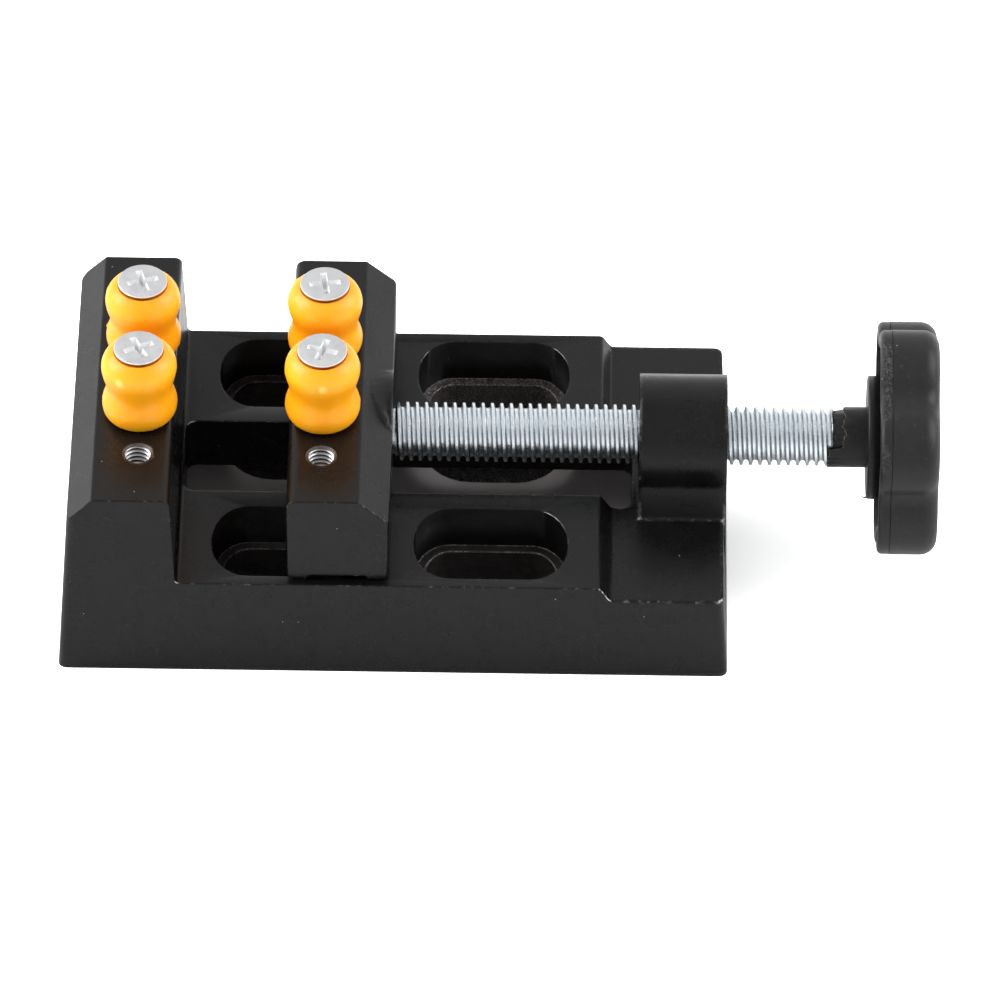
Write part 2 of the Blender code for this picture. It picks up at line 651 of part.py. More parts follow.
def star_outline(inset):
    """Outline (Y, Z) of the knob's rim: six round lobes joined by round valleys, moved in by inset."""
    lobe = LOBE_RADIUS - inset
    valley = LOBE_VALLEY_RADIUS + inset
    half_pitch = math.pi / LOBE_COUNT
    reach = lobe + valley
    across = LOBE_OFFSET * math.sin(half_pitch)
    valley_offset = LOBE_OFFSET * math.cos(half_pitch) + math.sqrt(reach ** 2 - across ** 2)
    # Half of the lobe's arc, seen from its own centre
    lobe_half = math.pi - math.acos(
        (reach ** 2 + LOBE_OFFSET ** 2 - valley_offset ** 2) / (2 * reach * LOBE_OFFSET))
    valley_half = lobe_half - half_pitch
    points = []
    for index in range(LOBE_COUNT):
        aim = math.pi / 2 - LOBE_TURN - 2 * half_pitch * index
        centre = Vector((math.cos(aim), math.sin(aim))) * LOBE_OFFSET
        for step in range(LOBE_STEPS + 1):
            angle = aim + lobe_half - 2 * lobe_half * step / LOBE_STEPS
            points.append(centre + Vector((math.cos(angle), math.sin(angle))) * lobe)
        aim -= half_pitch
        centre = Vector((math.cos(aim), math.sin(aim))) * valley_offset
        for step in range(1, CORNER_STEPS):
            angle = aim + math.pi - valley_half + 2 * valley_half * step / CORNER_STEPS
            points.append(centre + Vector((math.cos(angle), math.sin(angle))) * valley)
    return points


def make_knob(material, spindle):
    """Hollow-backed star knob with a hub sleeve, a collar and ribs out to its valleys."""
    mesh = prism("knob", star_outline(0), RIM_BACK, RIM_FRONT, "X")
    weights = mesh.attributes.new("bevel_weight_edge", "FLOAT", "EDGE")
    for edge in mesh.edges:
        first, second = (mesh.vertices[index].co.x for index in edge.vertices)
        if first == second:
            is_front = first > (RIM_BACK + RIM_FRONT) / 2
            weights.data[edge.index].value = 1.0 if is_front else RIM_BACK_RADIUS / RIM_FRONT_RADIUS
    knob = add_object("knob", mesh, material)
    edges = knob.modifiers.new("Rim edges", "BEVEL")
    edges.limit_method = "WEIGHT"
    edges.width = RIM_FRONT_RADIUS
    edges.segments = 3
    front_wall = RIM_FRONT - RIM_FRONT_WALL
    cavity = add_object("rim_cavity", prism(
        "rim_cavity", star_outline(RIM_WALL), RIM_BACK - OVERRUN, front_wall, "X"))
    combine(knob, [cavity], "DIFFERENCE")

    hub = add_object("hub", cylinder("hub", HUB_RADIUS, COLLAR_START + COLLAR_THICKNESS / 2,
                                     front_wall + BLEND, "X"))
    collar = add_object("collar", cylinder(
        "collar", COLLAR_RADIUS, COLLAR_START, COLLAR_START + COLLAR_THICKNESS, "X"))
    sleeve = add_object("sleeve", cylinder(
        "sleeve", SLEEVE_RADIUS, SLEEVE_START, COLLAR_START + COLLAR_THICKNESS / 2, "X"))
    ribs = []
    rib_reach = LOBE_OFFSET + BLEND
    for index in range(LOBE_COUNT):
        rib = add_object("rib", prism("rib", [
            (-RIB_THICKNESS / 2, HUB_RADIUS - BLEND), (RIB_THICKNESS / 2, HUB_RADIUS - BLEND),
            (RIB_THICKNESS / 2, rib_reach + BLEND), (-RIB_THICKNESS / 2, rib_reach + BLEND)],
            RIM_BACK + RIB_INSET, front_wall + BLEND, "X"))
        rib.rotation_euler = (-LOBE_TURN - math.pi * (2 * index + 1) / LOBE_COUNT, 0, 0)
        ribs.append(rib)
    combine(knob, [hub, collar, sleeve] + ribs, "UNION")
    bore = add_object("tang_bore", cylinder(
        "tang_bore", TANG_RADIUS + GAP, SLEEVE_START - OVERRUN, front_wall, "X", steps=SMALL_ROUND_STEPS))
    combine(knob, [bore], "DIFFERENCE")
    knob.parent = spindle
    return knob


def peg_profile():
    """Half profile (radius, height) of a peg, from its top face's seat down and back up the bore."""
    stations = [
        (PEG_FACE_RADIUS, PEG_TOP),
        (PEG_RADIUS, PEG_BASE + PEG_UPPER_BULGE),
        (PEG_WAIST_RADIUS, PEG_BASE + PEG_WAIST),
        (PEG_RADIUS, PEG_BASE + PEG_LOWER_BULGE),
        (PEG_FOOT_RADIUS, PEG_BASE),
    ]
    points = [(PEG_HEAD_RADIUS + GAP, PEG_TOP), stations[0]]
    for index in range(len(stations) - 1):
        above, high = stations[index]
        below, low = stations[index + 1]
        for step in range(1, PEG_CURVE_STEPS + 1):
            turn = step / PEG_CURVE_STEPS * math.pi / 2
            if index == 0:
                points.append((above + (below - above) * math.sin(turn), low + (high - low) * math.cos(turn)))
            elif index == len(stations) - 2:
                points.append((below + (above - below) * math.cos(turn), high + (low - high) * math.sin(turn)))
            else:
                share = step / PEG_CURVE_STEPS
                from_bulge = share if above > below else 1 - share
                wave = (1 - math.cos(math.pi * from_bulge)) / 2
                bead = 1 - math.sqrt(1 - from_bulge ** 2)
                dip = wave + (bead - wave) * PEG_WAIST_SHARPNESS
                points.append((PEG_RADIUS + (PEG_WAIST_RADIUS - PEG_RADIUS) * dip, high + (low - high) * share))
    points += [
        (PEG_BORE_RADIUS, PEG_BASE),
        (PEG_BORE_RADIUS, PEG_TOP - PEG_HEAD_CONE),
    ]
    return points


def make_pegs(peg_material, screw_material, base, carriage):
    fixed_row = FIXED_FACE_TOP - PEG_ROW_INSET
    moving_row = MOVING_FACE + PEG_ROW_INSET
    head_top = PEG_TOP + PEG_HEAD_RIM
    tip = JAW_HEIGHT - PEG_SCREW_REACH
    for row, row_x, holder in (("fixed", fixed_row, base), ("moving", moving_row, carriage)):
        for place, y in (("near", -INNER_HOLE_OFFSET), ("far", INNER_HOLE_OFFSET)):
            peg = turned(f"{row}_peg_{place}", peg_profile(), peg_material, steps=PEG_STEPS)
            screw = turned(f"{row}_peg_screw_{place}", [
                (0, head_top),
                (PEG_HEAD_RADIUS, head_top),
                (PEG_HEAD_RADIUS, PEG_TOP),
                (PEG_SHANK_RADIUS, PEG_TOP - PEG_HEAD_CONE),
                (PEG_SHANK_RADIUS, tip),
                (0, tip),
            ], screw_material)
            for piece in (peg, screw):
                piece.parent = holder
                piece.location = (row_x, y, 0)


def build():
    clear_scene()
    cast = make_material("black_coated_casting", (0.026, 0.026, 0.027), 0.42, 0.0)
    black_plastic = make_material("black_plastic", (0.040, 0.040, 0.041), 0.45, 0.0)
    orange_plastic = make_material("orange_plastic", (0.990, 0.420, 0.014), 0.38, 0.0)
    zinc = make_material("zinc_plated_steel", (0.560, 0.590, 0.620), 0.30, 1.0)
    plate_steel = make_material("dark_plate_steel", (0.120, 0.120, 0.125), 0.40, 1.0)

    base = make_base(cast)
    carriage = bpy.data.objects.new("jaw_carriage", None)
    carriage.location = (BASE_MIDDLE, 0, 0)
    spindle = bpy.data.objects.new("screw_axis", None)
    spindle.parent = carriage
    spindle.location = (0, 0, AXIS_HEIGHT)
    for empty in (carriage, spindle):
        bpy.data.collections["mini_bench_vise"].objects.link(empty)

    make_moving_jaw(cast, carriage)
    make_guide_plate(plate_steel, zinc, carriage)
    make_lead_screw(zinc, spindle)
    make_washer(zinc, spindle)
    make_clip(plate_steel, spindle)
    make_knob(black_plastic, spindle)
    make_pegs(orange_plastic, zinc, base, carriage)
    for obj in bpy.data.collections["mini_bench_vise"].objects:
        if obj.type == "MESH":
            smooth(obj.data)


build()
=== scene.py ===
# Looks for the mini bench vise: castings with rounded edges and a black coating, a real helical
# thread, the star knob, waisted plastic pegs with cross-recess screws, and a photographer's table.
# All lengths are in metres, in the frame's own axes: X along the vise, Y across it, Z up.

import json
import math

import bmesh
import bpy
from mathutils import Matrix, Vector, noise


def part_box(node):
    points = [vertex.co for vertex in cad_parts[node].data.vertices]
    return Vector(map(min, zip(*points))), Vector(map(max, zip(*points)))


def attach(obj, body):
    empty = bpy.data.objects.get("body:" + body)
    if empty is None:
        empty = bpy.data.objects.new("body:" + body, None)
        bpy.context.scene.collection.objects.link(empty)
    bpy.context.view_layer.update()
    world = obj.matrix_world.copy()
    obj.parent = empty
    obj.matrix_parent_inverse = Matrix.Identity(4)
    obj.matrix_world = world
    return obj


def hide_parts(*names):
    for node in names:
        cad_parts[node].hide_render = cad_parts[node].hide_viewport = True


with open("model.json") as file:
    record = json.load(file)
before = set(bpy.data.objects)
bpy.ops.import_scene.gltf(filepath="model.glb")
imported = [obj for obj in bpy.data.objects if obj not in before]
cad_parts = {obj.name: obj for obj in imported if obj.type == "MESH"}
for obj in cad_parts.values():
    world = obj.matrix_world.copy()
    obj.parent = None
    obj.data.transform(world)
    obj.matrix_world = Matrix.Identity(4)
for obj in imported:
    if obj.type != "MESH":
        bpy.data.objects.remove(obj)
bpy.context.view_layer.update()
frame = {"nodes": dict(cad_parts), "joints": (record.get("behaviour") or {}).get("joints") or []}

MM = 0.001
PER_MM = 1000.0                     # texture coordinates are taken in millimetres
GAP = 0.0003                        # between neighbouring CAD pieces

# Places read from the frame
AXIS = Vector(next(joint["pos_m"] for joint in frame["joints"] if joint["name"] == "screw_turn"))
BASE_LOW, BASE_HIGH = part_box("base_casting")
JAW_LOW, JAW_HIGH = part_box("moving_jaw")
KNOB_LOW, KNOB_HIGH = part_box("knob")
SCREW_LOW, SCREW_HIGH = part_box("lead_screw")
PEG_LOW, PEG_TOP = (corner.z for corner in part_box("fixed_peg_near"))

# Castings
CASTING_EDGE = 0.00036              # rounding of the cast edges
BOSS_EDGE = 0.0008                  # rounding at the screw boss and the lower deck
BOSS_BACK = 0.0160
BOSS_BLEND = 0.0005                 # over which the one rounding grows into the other
JAW_FRONT_CORNER = 0.0005           # rounding of the moving jaw's upright edges
JAW_BACK_CORNER = 0.00075
CORNER_STEPS = 6
OVERRUN = 0.002
SMOOTH_ANGLE = math.radians(36.0)
LEDGE_HEIGHT = 0.00825
DECK_HEIGHT = 0.01475
SLOT_REACH = (0.0085, 0.0240)       # nearest and farthest slot wall from the mid-plane

# Painted glints on the slots' rims: where the rounded normal points, and heights near the deck
GLINT_FRONT = (-0.15, -0.45)
GLINT_SIDE = (0.12, 0.30)
GLINT_UP = (0.2, 0.4)
GLINT_HEIGHT = (DECK_HEIGHT + 0.0002, DECK_HEIGHT + 0.0005)
GLINT_GRAIN = (0.38, 0.54)

# Painted reflection of the lead screw on the ledge of the far right slot
SCREW_REFLECTION_X = (-0.014, -0.010)
SCREW_REFLECTION_Y = (0.0, 0.004)

# Thread of the lead screw, right-handed, and the plain ends of the shaft
PITCH = 0.00125
CREST_RADIUS = 0.0039
ROOT_RADIUS = 0.00321
THREAD_FLANK = ((0.0, 0.0), (0.12, 0.03), (0.24, 0.20), (0.30, 0.55), (0.335, 0.92), (0.375, 1.0))
FLANK_SHADE_BAND = (0.1, 0.9)             # share of the depth that counts as flank, which gets painted shade
THREAD_CHAMFER = 0.0003
THREAD_UNDER_SLEEVE = 0.0011        # how far the thread shows under the sleeve's torn edge
THREAD_TURN_STEPS = 64
THREAD_PHASE = 0.61                 # turns, so that crests stand where the photograph has them
JOURNAL_RADIUS = 0.0030
TANG_RADIUS = 0.0027
SHAFT_STEPS = 40

# Threads in the bare peg holes
HOLE_PITCH = 0.0007
HOLE_FLANK = ((0.0, 0.0), (0.08, 0.0), (0.40, 0.9), (0.44, 1.0))
HOLE_PHASE = 0.2
HOLE_ROOT_RADIUS = 0.00205
HOLE_CREST_RADIUS = 0.00168
HOLE_SHELL_RADIUS = 0.00207
HOLE_SHELL_DROP = 0.00003
HOLE_MOUTH = 0.00018
HOLE_MOUTH_PAINTED_SHADE = 0.85
HOLE_THREAD_DEPTH = 0.0075
HOLE_TURN_STEPS = 40
OUTER_HOLE_OFFSET = 0.0148

# Knob
LOBE_COUNT = 6
LOBE_RADIUS = 0.0066
LOBE_OFFSET = 0.0096
LOBE_VALLEY_RADIUS = 0.0030
LOBE_TURN = math.radians(5.3)
LOBE_STEPS = 26
VALLEY_STEPS = 12
RIM_LENGTH = 0.0079
RIM_WALL = 0.0019
RIM_FRONT_WALL = 0.0025
RIM_FRONT_RADIUS = 0.0022
RIM_BACK_RADIUS = 0.0007
RIM_BACK = KNOB_HIGH.x - RIM_LENGTH
RIM_FLOOR = KNOB_HIGH.x - RIM_FRONT_WALL
RIM_FLOOR_FILLET = 0.0006
PARTING_INSET = 0.0016              # from the back of the rim
PARTING = RIM_BACK + PARTING_INSET
PARTING_STEP = 0.00005
PARTING_HALF_WIDTH = 0.00004
DUSTY_BLUR = 0.00005
DUSTY_BAND = 0.0011                 # fully dusty as far behind the parting line as this
NECK_SHADE_BLEND = 0.0003
COLLAR_STANDOUT = 0.0014
COLLAR_BACK = RIM_BACK - COLLAR_STANDOUT
COLLAR_RADIUS = 0.0082
COLLAR_THICKNESS = 0.0016
COLLAR_EDGE = 0.00025
COLLAR_STEPS = 96
HUB_RADIUS = 0.0060
HUB_FILLET = 0.0003
FLASH_TURN = math.radians(43.0)     # spike of flash on the collar, from straight down to the front
FLASH_STATIONS = ((-0.0003, 0.00025, 0.00014), (0.0003, 0.00022, 0.00010), (0.0008, 0.00062, 0.00003))
SLEEVE_RADIUS = 0.00403
SLEEVE_BORE = 0.00394
SLEEVE_STEPS = 120
SLEEVE_WOBBLE = 0.00004
SLEEVE_LAYERS = (                   # radius, bore, depth of the tear over the top, its raggedness
    (SLEEVE_RADIUS, SLEEVE_BORE, 0.0021, 0.00036),
    (ROOT_RADIUS + 0.0003, TANG_RADIUS, 0.0009, 0.00022),
)
TEAR_START = 0.635                  # share of the height at which the deep tear begins
TEAR_BLEND = 0.05
RIB_THICKNESS = 0.0014
RIB_INSET = 0.0020
RIB_SINK = 0.0002                   # into the knob's front wall
RIB_HUB_SINK = 0.0005
RIB_REACH = 0.002                   # past the middle of a lobe
RIB_EDGE = 0.0003

# Pegs and their screws
PEG_RADIUS = 0.00495
PEG_WAIST_RADIUS = 0.00435
PEG_MOUTH_RADIUS = 0.00333          # where the plastic meets the head, a little below its face
PEG_MOUTH_DROP = 0.00030
PEG_CROWN_RADIUS = 0.0024           # middle of the upper bead's rounding
PEG_SHOULDER = 0.0016
PEG_PAINTED_LIGHT_BAND = 0.0087              # height of the band of painted light on the upper bead
PEG_GATE_HEIGHT = 0.0083
PEG_GATE_RADIUS = 0.0007
PEG_FOOT_RADIUS = 0.00425
PEG_LOWER_BULGE = 0.0017
PEG_WAIST = 0.0044
PEG_UPPER_BULGE = 0.00775
PEG_BORE_RADIUS = 0.0021
PEG_SEAT_RADIUS = 0.00328
PEG_SEAT_DEPTH = 0.00145
PEG_STEPS = 120
PEG_CURVE_STEPS = 12
PEG_NUB = 0.00028                   # flash left at the mould's parting line
PEG_NUB_WIDTH = 0.00035
PEG_SEAM = 0.00004
PEG_SEAM_WIDTH = 0.035              # sine of the angle it takes up
PEG_WOBBLE = 0.00002
HEAD_RADIUS = 0.00325
HEAD_RIM = 0.00035
HEAD_EDGE = 0.00012
HEAD_CONE = 0.00145
HEAD_STEPS = 72
SHANK_RADIUS = 0.0018
CROSS_ARM = 0.00205
CROSS_WIDTH = 0.00044               # half the width of an arm at the head's face
CROSS_DEPTH = 0.0014
CROSS_STATIONS = ((-0.0003, 1.08, 1.08), (0.0, 1.0, 1.0), (CROSS_DEPTH, 0.42, 0.35))

# Camera, fitted to edges of the photograph
CAMERA_TARGET = Vector((0.00008, 0.0, 0.007375))
CAMERA_ELEVATION = math.radians(43.0)
CAMERA_YAW = 0.0077
CAMERA_ROLL = 0.0082
CAMERA_DISTANCE = 1.33493
CAMERA_SENSOR = 36.0
CAMERA_LENS = 360.0
CAMERA_CLIP = (0.05, 20.0)

# Table, lights and the dark studio side behind the camera
FLOOR_REACH = 3.0
FLOOR_DROP = 0.00001
TABLE_LIT = (0.80, 0.80, 0.80)      # for the light that bounces about
TABLE_OPEN = (2.2, 2.2, 2.2)        # for the camera
TABLE_MIRRORED = (0.86, 0.86, 0.86)
# Under the casting, as seen: a darker colour of painted shade, and a faint glow of painted light
TABLE_UNDER_PAINTED_SHADE = (0.31, 0.295, 0.295)
TABLE_UNDER_PAINTED_LIGHT = (0.0112, 0.0098, 0.0100)
TABLE_FADE = 0.002                  # width of the change at the footprint's edge
HOOD_RADIUS = 1.75
HOOD_HALF_WIDTH = 0.75
HOOD_ANGLES = (math.radians(20.0), math.radians(112.0))  # from the table in front, up and over
HOOD_STEPS = 24
SOFTBOX_SIZE = (0.8, 0.9)
SOFTBOXES = (("softbox_left", (-0.95, 0.10, 0.62), 14.5), ("softbox_right", (0.95, 0.10, 0.62), 9.0))


# ---------------------------------------------------------------- mesh helpers

def new_object(name, data):
    item = bpy.data.objects.new(name, data)
    bpy.context.scene.collection.objects.link(item)
    return item


def add_piece(name, mesh, body, slot, *materials, replaced=()):
    piece = new_object(name, mesh)
    for material in materials:
        mesh.materials.append(material)
    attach(piece, body)
    if replaced:
        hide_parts(*replaced)
    return piece


def shade(mesh, angle=SMOOTH_ANGLE):
    mesh.shade_smooth()
    mesh.set_sharp_from_angle(angle=angle)


def to_mesh(bm, name, angle=SMOOTH_ANGLE):
    mesh = bpy.data.meshes.new(name)
    bm.to_mesh(mesh)
    bm.free()
    shade(mesh, angle)
    return mesh


def turned(centre, axis, radius, angle, along):
    """Point at a radius and an angle round an axis through the centre, so far along it."""
    across, up = radius * math.cos(angle), radius * math.sin(angle)
    return centre + Vector((across, up, along) if axis == "Z" else (along, across, up))


def ring_surface(bm, rings, closed=True):
    """Joins rings of equally many points with quads; closed rings wrap round. Returns their vertices."""
    rows = [[bm.verts.new(point) for point in ring] for ring in rings]
    count = len(rows[0])
    for row, ahead in zip(rows, rows[1:]):
        for index in range(count if closed else count - 1):
            other = (index + 1) % count
            bm.faces.new((row[index], row[other], ahead[other], ahead[index]))
    return rows


def lathe(bm, profile, centre, axis, steps):
    """Turned surface of a profile (radius, along) about an axis through the centre, open at its ends."""
    turns = [2 * math.pi * step / steps for step in range(steps)]
    return ring_surface(bm, [[turned(centre, axis, radius, turn, along) for turn in turns]
                             for radius, along in profile])


def close_ends(bm, rows):
    bm.faces.new(rows[0])
    bm.faces.new(rows[-1])


def finish_shell(bm):
    bmesh.ops.remove_doubles(bm, verts=bm.verts, dist=0.000001)
    bmesh.ops.recalc_face_normals(bm, faces=bm.faces)


def finish_cutter(bm):
    """Helper object of a closed shape, for one cut."""
    finish_shell(bm)
    mesh = bpy.data.meshes.new("cutter")
    bm.to_mesh(mesh)
    bm.free()
    return new_object("cutter", mesh)


def cut(piece, cutter, operation="DIFFERENCE"):
    """Boolean, applied, and the cutter removed."""
    modifier = piece.modifiers.new("Cut", "BOOLEAN")
    modifier.object = cutter
    modifier.operation = operation
    modifier.solver = "EXACT"
    graph = bpy.context.evaluated_depsgraph_get()
    mesh = bpy.data.meshes.new_from_object(piece.evaluated_get(graph))
    piece.modifiers.remove(modifier)
    if not mesh.polygons:
        raise RuntimeError(f"nothing is left of {piece.name}")
    piece.data = mesh
    bpy.data.objects.remove(cutter, do_unlink=True)


# ---------------------------------------------------------------- material helpers

class Graph:
    """Short calls for the nodes of one material."""

    def __init__(self, name):
        self.material = bpy.data.materials.new(name)
        self.material.use_nodes = True
        self.nodes = self.material.node_tree.nodes
        self.links = self.material.node_tree.links

    def ramp(self, source, low, high, out_low=0.0, out_high=1.0):
        node = self.nodes.new("ShaderNodeMapRange")
        node.inputs["From Min"].default_value = low
        node.inputs["From Max"].default_value = high
        node.inputs["To Min"].default_value = out_low
        node.inputs["To Max"].default_value = out_high
        self.links.new(source, node.inputs["Value"])
        return node.outputs["Result"]

    def math(self, operation, first, second=0.0):
        node = self.nodes.new("ShaderNodeMath")
        node.operation = operation
        for socket, value in zip(node.inputs, (first, second)):
            if isinstance(value, (int, float)):
                socket.default_value = value
            else:
                self.links.new(value, socket)
        return node.outputs["Value"]

    def product(self, result, *factors):
        for factor in factors:
            result = self.math("MULTIPLY", result, factor)
        return result

    def blend(self, share, first, second):
        """Colour from first to second; each is a colour or an output."""
        node = self.nodes.new("ShaderNodeMix")
        node.data_type = "RGBA"
        self.links.new(share, node.inputs["Factor"])
        for socket, value in ((node.inputs[6], first), (node.inputs[7], second)):
            if isinstance(value, tuple):
                socket.default_value = (*value, 1.0)
            else:
                self.links.new(value, socket)
        return node.outputs[2]

    def part(self, vector, axis):
        node = self.nodes.new("ShaderNodeSeparateXYZ")
        self.links.new(vector, node.inputs["Vector"])
        return node.outputs[axis]


class Shader(Graph):
    """A Principled material whose textures lie on the piece in millimetres."""

    def __init__(self, name, color, roughness, metallic=0.0, specular=0.5):
        super().__init__(name)
        self.bsdf = self.nodes["Principled BSDF"]
        self.set("Base Color", (*color, 1.0))
        self.set("Roughness", roughness)
        self.set("Metallic", metallic)
        self.set("Specular IOR Level", specular)
        scaling = self.nodes.new("ShaderNodeMapping")
        scaling.inputs["Scale"].default_value = (PER_MM, PER_MM, PER_MM)
        source = self.nodes.new("ShaderNodeTexCoord")
        self.links.new(source.outputs["Object"], scaling.inputs["Vector"])
        self.coords = scaling.outputs["Vector"]

    def set(self, socket, value):
        self.bsdf.inputs[socket].default_value = value

    def link(self, output, socket):
        self.links.new(output, self.bsdf.inputs[socket])

    def noise(self, scale, detail=4.0, roughness=0.55, stretch=None):
        node = self.nodes.new("ShaderNodeTexNoise")
        node.inputs["Scale"].default_value = scale
        node.inputs["Detail"].default_value = detail
        node.inputs["Roughness"].default_value = roughness
        vector = self.coords
        if stretch:
            squeeze = self.nodes.new("ShaderNodeMapping")
            squeeze.inputs["Scale"].default_value = stretch
            self.links.new(vector, squeeze.inputs["Vector"])
            vector = squeeze.outputs["Vector"]
        self.links.new(vector, node.inputs["Vector"])
        return node.outputs["Fac"]

    def specks(self, scale, radius, share):
        """Small round spots, one in some of the cells of a Voronoi pattern."""
        node = self.nodes.new("ShaderNodeTexVoronoi")
        node.inputs["Scale"].default_value = scale
        self.links.new(self.coords, node.inputs["Vector"])
        near = self.ramp(node.outputs["Distance"], radius * 0.6 * scale, radius * scale, 1.0, 0.0)
        split = self.nodes.new("ShaderNodeSeparateColor")
        self.links.new(node.outputs["Color"], split.inputs["Color"])
        chosen = self.ramp(split.outputs["Red"], share, share + 0.01, 1.0, 0.0)
        return self.product(near, chosen)

    def attribute(self, name):
        node = self.nodes.new("ShaderNodeAttribute")
        node.attribute_name = name
        return node.outputs["Fac"]

    def along(self, axis, low, high, out_low=0.0, out_high=1.0):
        """Ramp between two places on an axis, which are given in metres."""
        return self.ramp(self.part(self.coords, axis), low * PER_MM, high * PER_MM, out_low, out_high)

    def rounding(self, radius):
        """Normal of edges as if they were rounded, and how strongly a point lies on such an edge."""
        bevel = self.nodes.new("ShaderNodeBevel")
        bevel.samples = 8
        if isinstance(radius, float):
            bevel.inputs["Radius"].default_value = radius
        else:
            self.links.new(radius, bevel.inputs["Radius"])
        geometry = self.nodes.new("ShaderNodeNewGeometry")
        compare = self.nodes.new("ShaderNodeVectorMath")
        compare.operation = "DOT_PRODUCT"
        self.links.new(bevel.outputs["Normal"], compare.inputs[0])
        self.links.new(geometry.outputs["Normal"], compare.inputs[1])
        return bevel.outputs["Normal"], self.ramp(compare.outputs["Value"], 0.995, 0.90, 0.0, 1.0)

    def bump(self, *layers, normal=None):
        """Chained bumps, each (height output, depth in metres), on top of a normal if one is given."""
        for height, depth in layers:
            node = self.nodes.new("ShaderNodeBump")
            node.inputs["Distance"].default_value = depth
            self.links.new(height, node.inputs["Height"])
            if normal:
                self.links.new(normal, node.inputs["Normal"])
            normal = node.outputs["Normal"]
        self.link(normal, "Normal")


# ---------------------------------------------------------------- materials

def coated_casting():
    """Black baked coating on cast metal: satin, finely pebbled, dusty, rubbed thin along its edges, which also
    carry a painted highlight, with painted glints on the slots' rims.
    """
    coat = Shader("black_coating", (0.0042, 0.0042, 0.0043), 0.28, specular=0.22)
    radius = coat.along("X", BOSS_BACK - BOSS_BLEND, BOSS_BACK, CASTING_EDGE, BOSS_EDGE)
    rounded, edge = coat.rounding(radius)
    pebble = coat.noise(3.2, 3.0)
    cloud = coat.noise(0.16, 5.0)
    grit = coat.noise(11.0, 2.0)
    dust = coat.specks(0.42, 0.085, 0.22)
    # Edges: partly coating rubbed thin, partly a painted highlight.
    worn_edge_and_highlight = coat.product(edge, coat.ramp(coat.noise(1.1, 6.0, 0.65), 0.54, 0.72))
    # Painted glints: bright spots on the slots' rims, where the rounded edge faces forward and sideways.
    glint = coat.product(
        coat.ramp(coat.part(rounded, "Y"), *GLINT_FRONT),
        coat.ramp(coat.math("ABSOLUTE", coat.part(rounded, "X")), *GLINT_SIDE),
        coat.ramp(coat.part(rounded, "Z"), *GLINT_UP),
        coat.along("Z", *GLINT_HEIGHT, 1.0, 0.0),
        edge,
        coat.ramp(coat.noise(3.0, 5.0, 0.7), *GLINT_GRAIN))
    clouded = coat.blend(cloud, (0.0032, 0.0032, 0.0034), (0.0058, 0.0056, 0.0056))
    # The clouded coat with edge wear and a painted edge highlight, under the painted glints.
    rubbed = coat.blend(glint, coat.blend(worn_edge_and_highlight, clouded, (0.13, 0.13, 0.133)), (0.85, 0.85, 0.85))
    coat.link(coat.blend(dust, rubbed, (0.42, 0.41, 0.39)), "Base Color")
    rough = coat.ramp(cloud, 0.3, 0.7, 0.22, 0.33)
    coat.link(coat.math("MAXIMUM", rough, coat.product(dust, 0.9)), "Roughness")
    coat.bump((pebble, 0.000006), (grit, 0.000002), (dust, 0.00005), normal=rounded)
    return coat.material


def rough_casting():
    """The same coating where the casting wasn't dressed: coarse, with painted glitter highlights along the
    slots' ledges and a painted reflection of the lead screw on the far right slot's ledge.
    """
    coat = Shader("rough_coating", (0.012, 0.011, 0.0105), 0.34, specular=0.35)
    rounded, edge = coat.rounding(CASTING_EDGE)
    grain = coat.noise(5.5, 6.0, 0.7)
    cloud = coat.noise(0.5, 3.0)
    patches = coat.ramp(coat.noise(0.12, 2.0), 0.40, 0.56, 0.35, 1.0)
    # Painted highlight: glitter along the ledges' edges.
    painted_edge_glitter = coat.product(edge, patches, coat.ramp(grain, 0.46, 0.60))
    # Painted reflection of the lead screw on the far right slot's ledge.
    painted_screw_reflection = coat.product(coat.along("X", *SCREW_REFLECTION_X), coat.along("Y", *SCREW_REFLECTION_Y),
                           coat.ramp(grain, 0.50, 0.60))
    plain = coat.blend(cloud, (0.008, 0.0072, 0.0068), (0.030, 0.0265, 0.025))
    plain = coat.blend(painted_screw_reflection, plain, (0.20, 0.18, 0.17))
    coat.link(coat.blend(painted_edge_glitter, plain, (0.46, 0.42, 0.39)), "Base Color")
    coat.link(coat.ramp(grain, 0.3, 0.7, 0.24, 0.5), "Roughness")
    coat.bump((grain, 0.00006), (coat.noise(1.2, 3.0), 0.0001), normal=rounded)
    return coat.material


def slot_wall_casting():
    """The coating on the slots' upright walls: dull, with a few bright grains."""
    coat = Shader("slot_wall_coating", (0.0035, 0.0033, 0.0033), 0.6, specular=0.10)
    cloud = coat.noise(0.6, 4.0)
    grains = coat.specks(1.1, 0.07, 0.10)
    plain = coat.blend(cloud, (0.0025, 0.0023, 0.0023), (0.0060, 0.0054, 0.0052))
    coat.link(coat.blend(grains, plain, (0.08, 0.075, 0.07)), "Base Color")
    coat.link(coat.ramp(cloud, 0.3, 0.7, 0.5, 0.7), "Roughness")
    coat.bump((coat.noise(4.0, 4.0), 0.00003))
    return coat.material


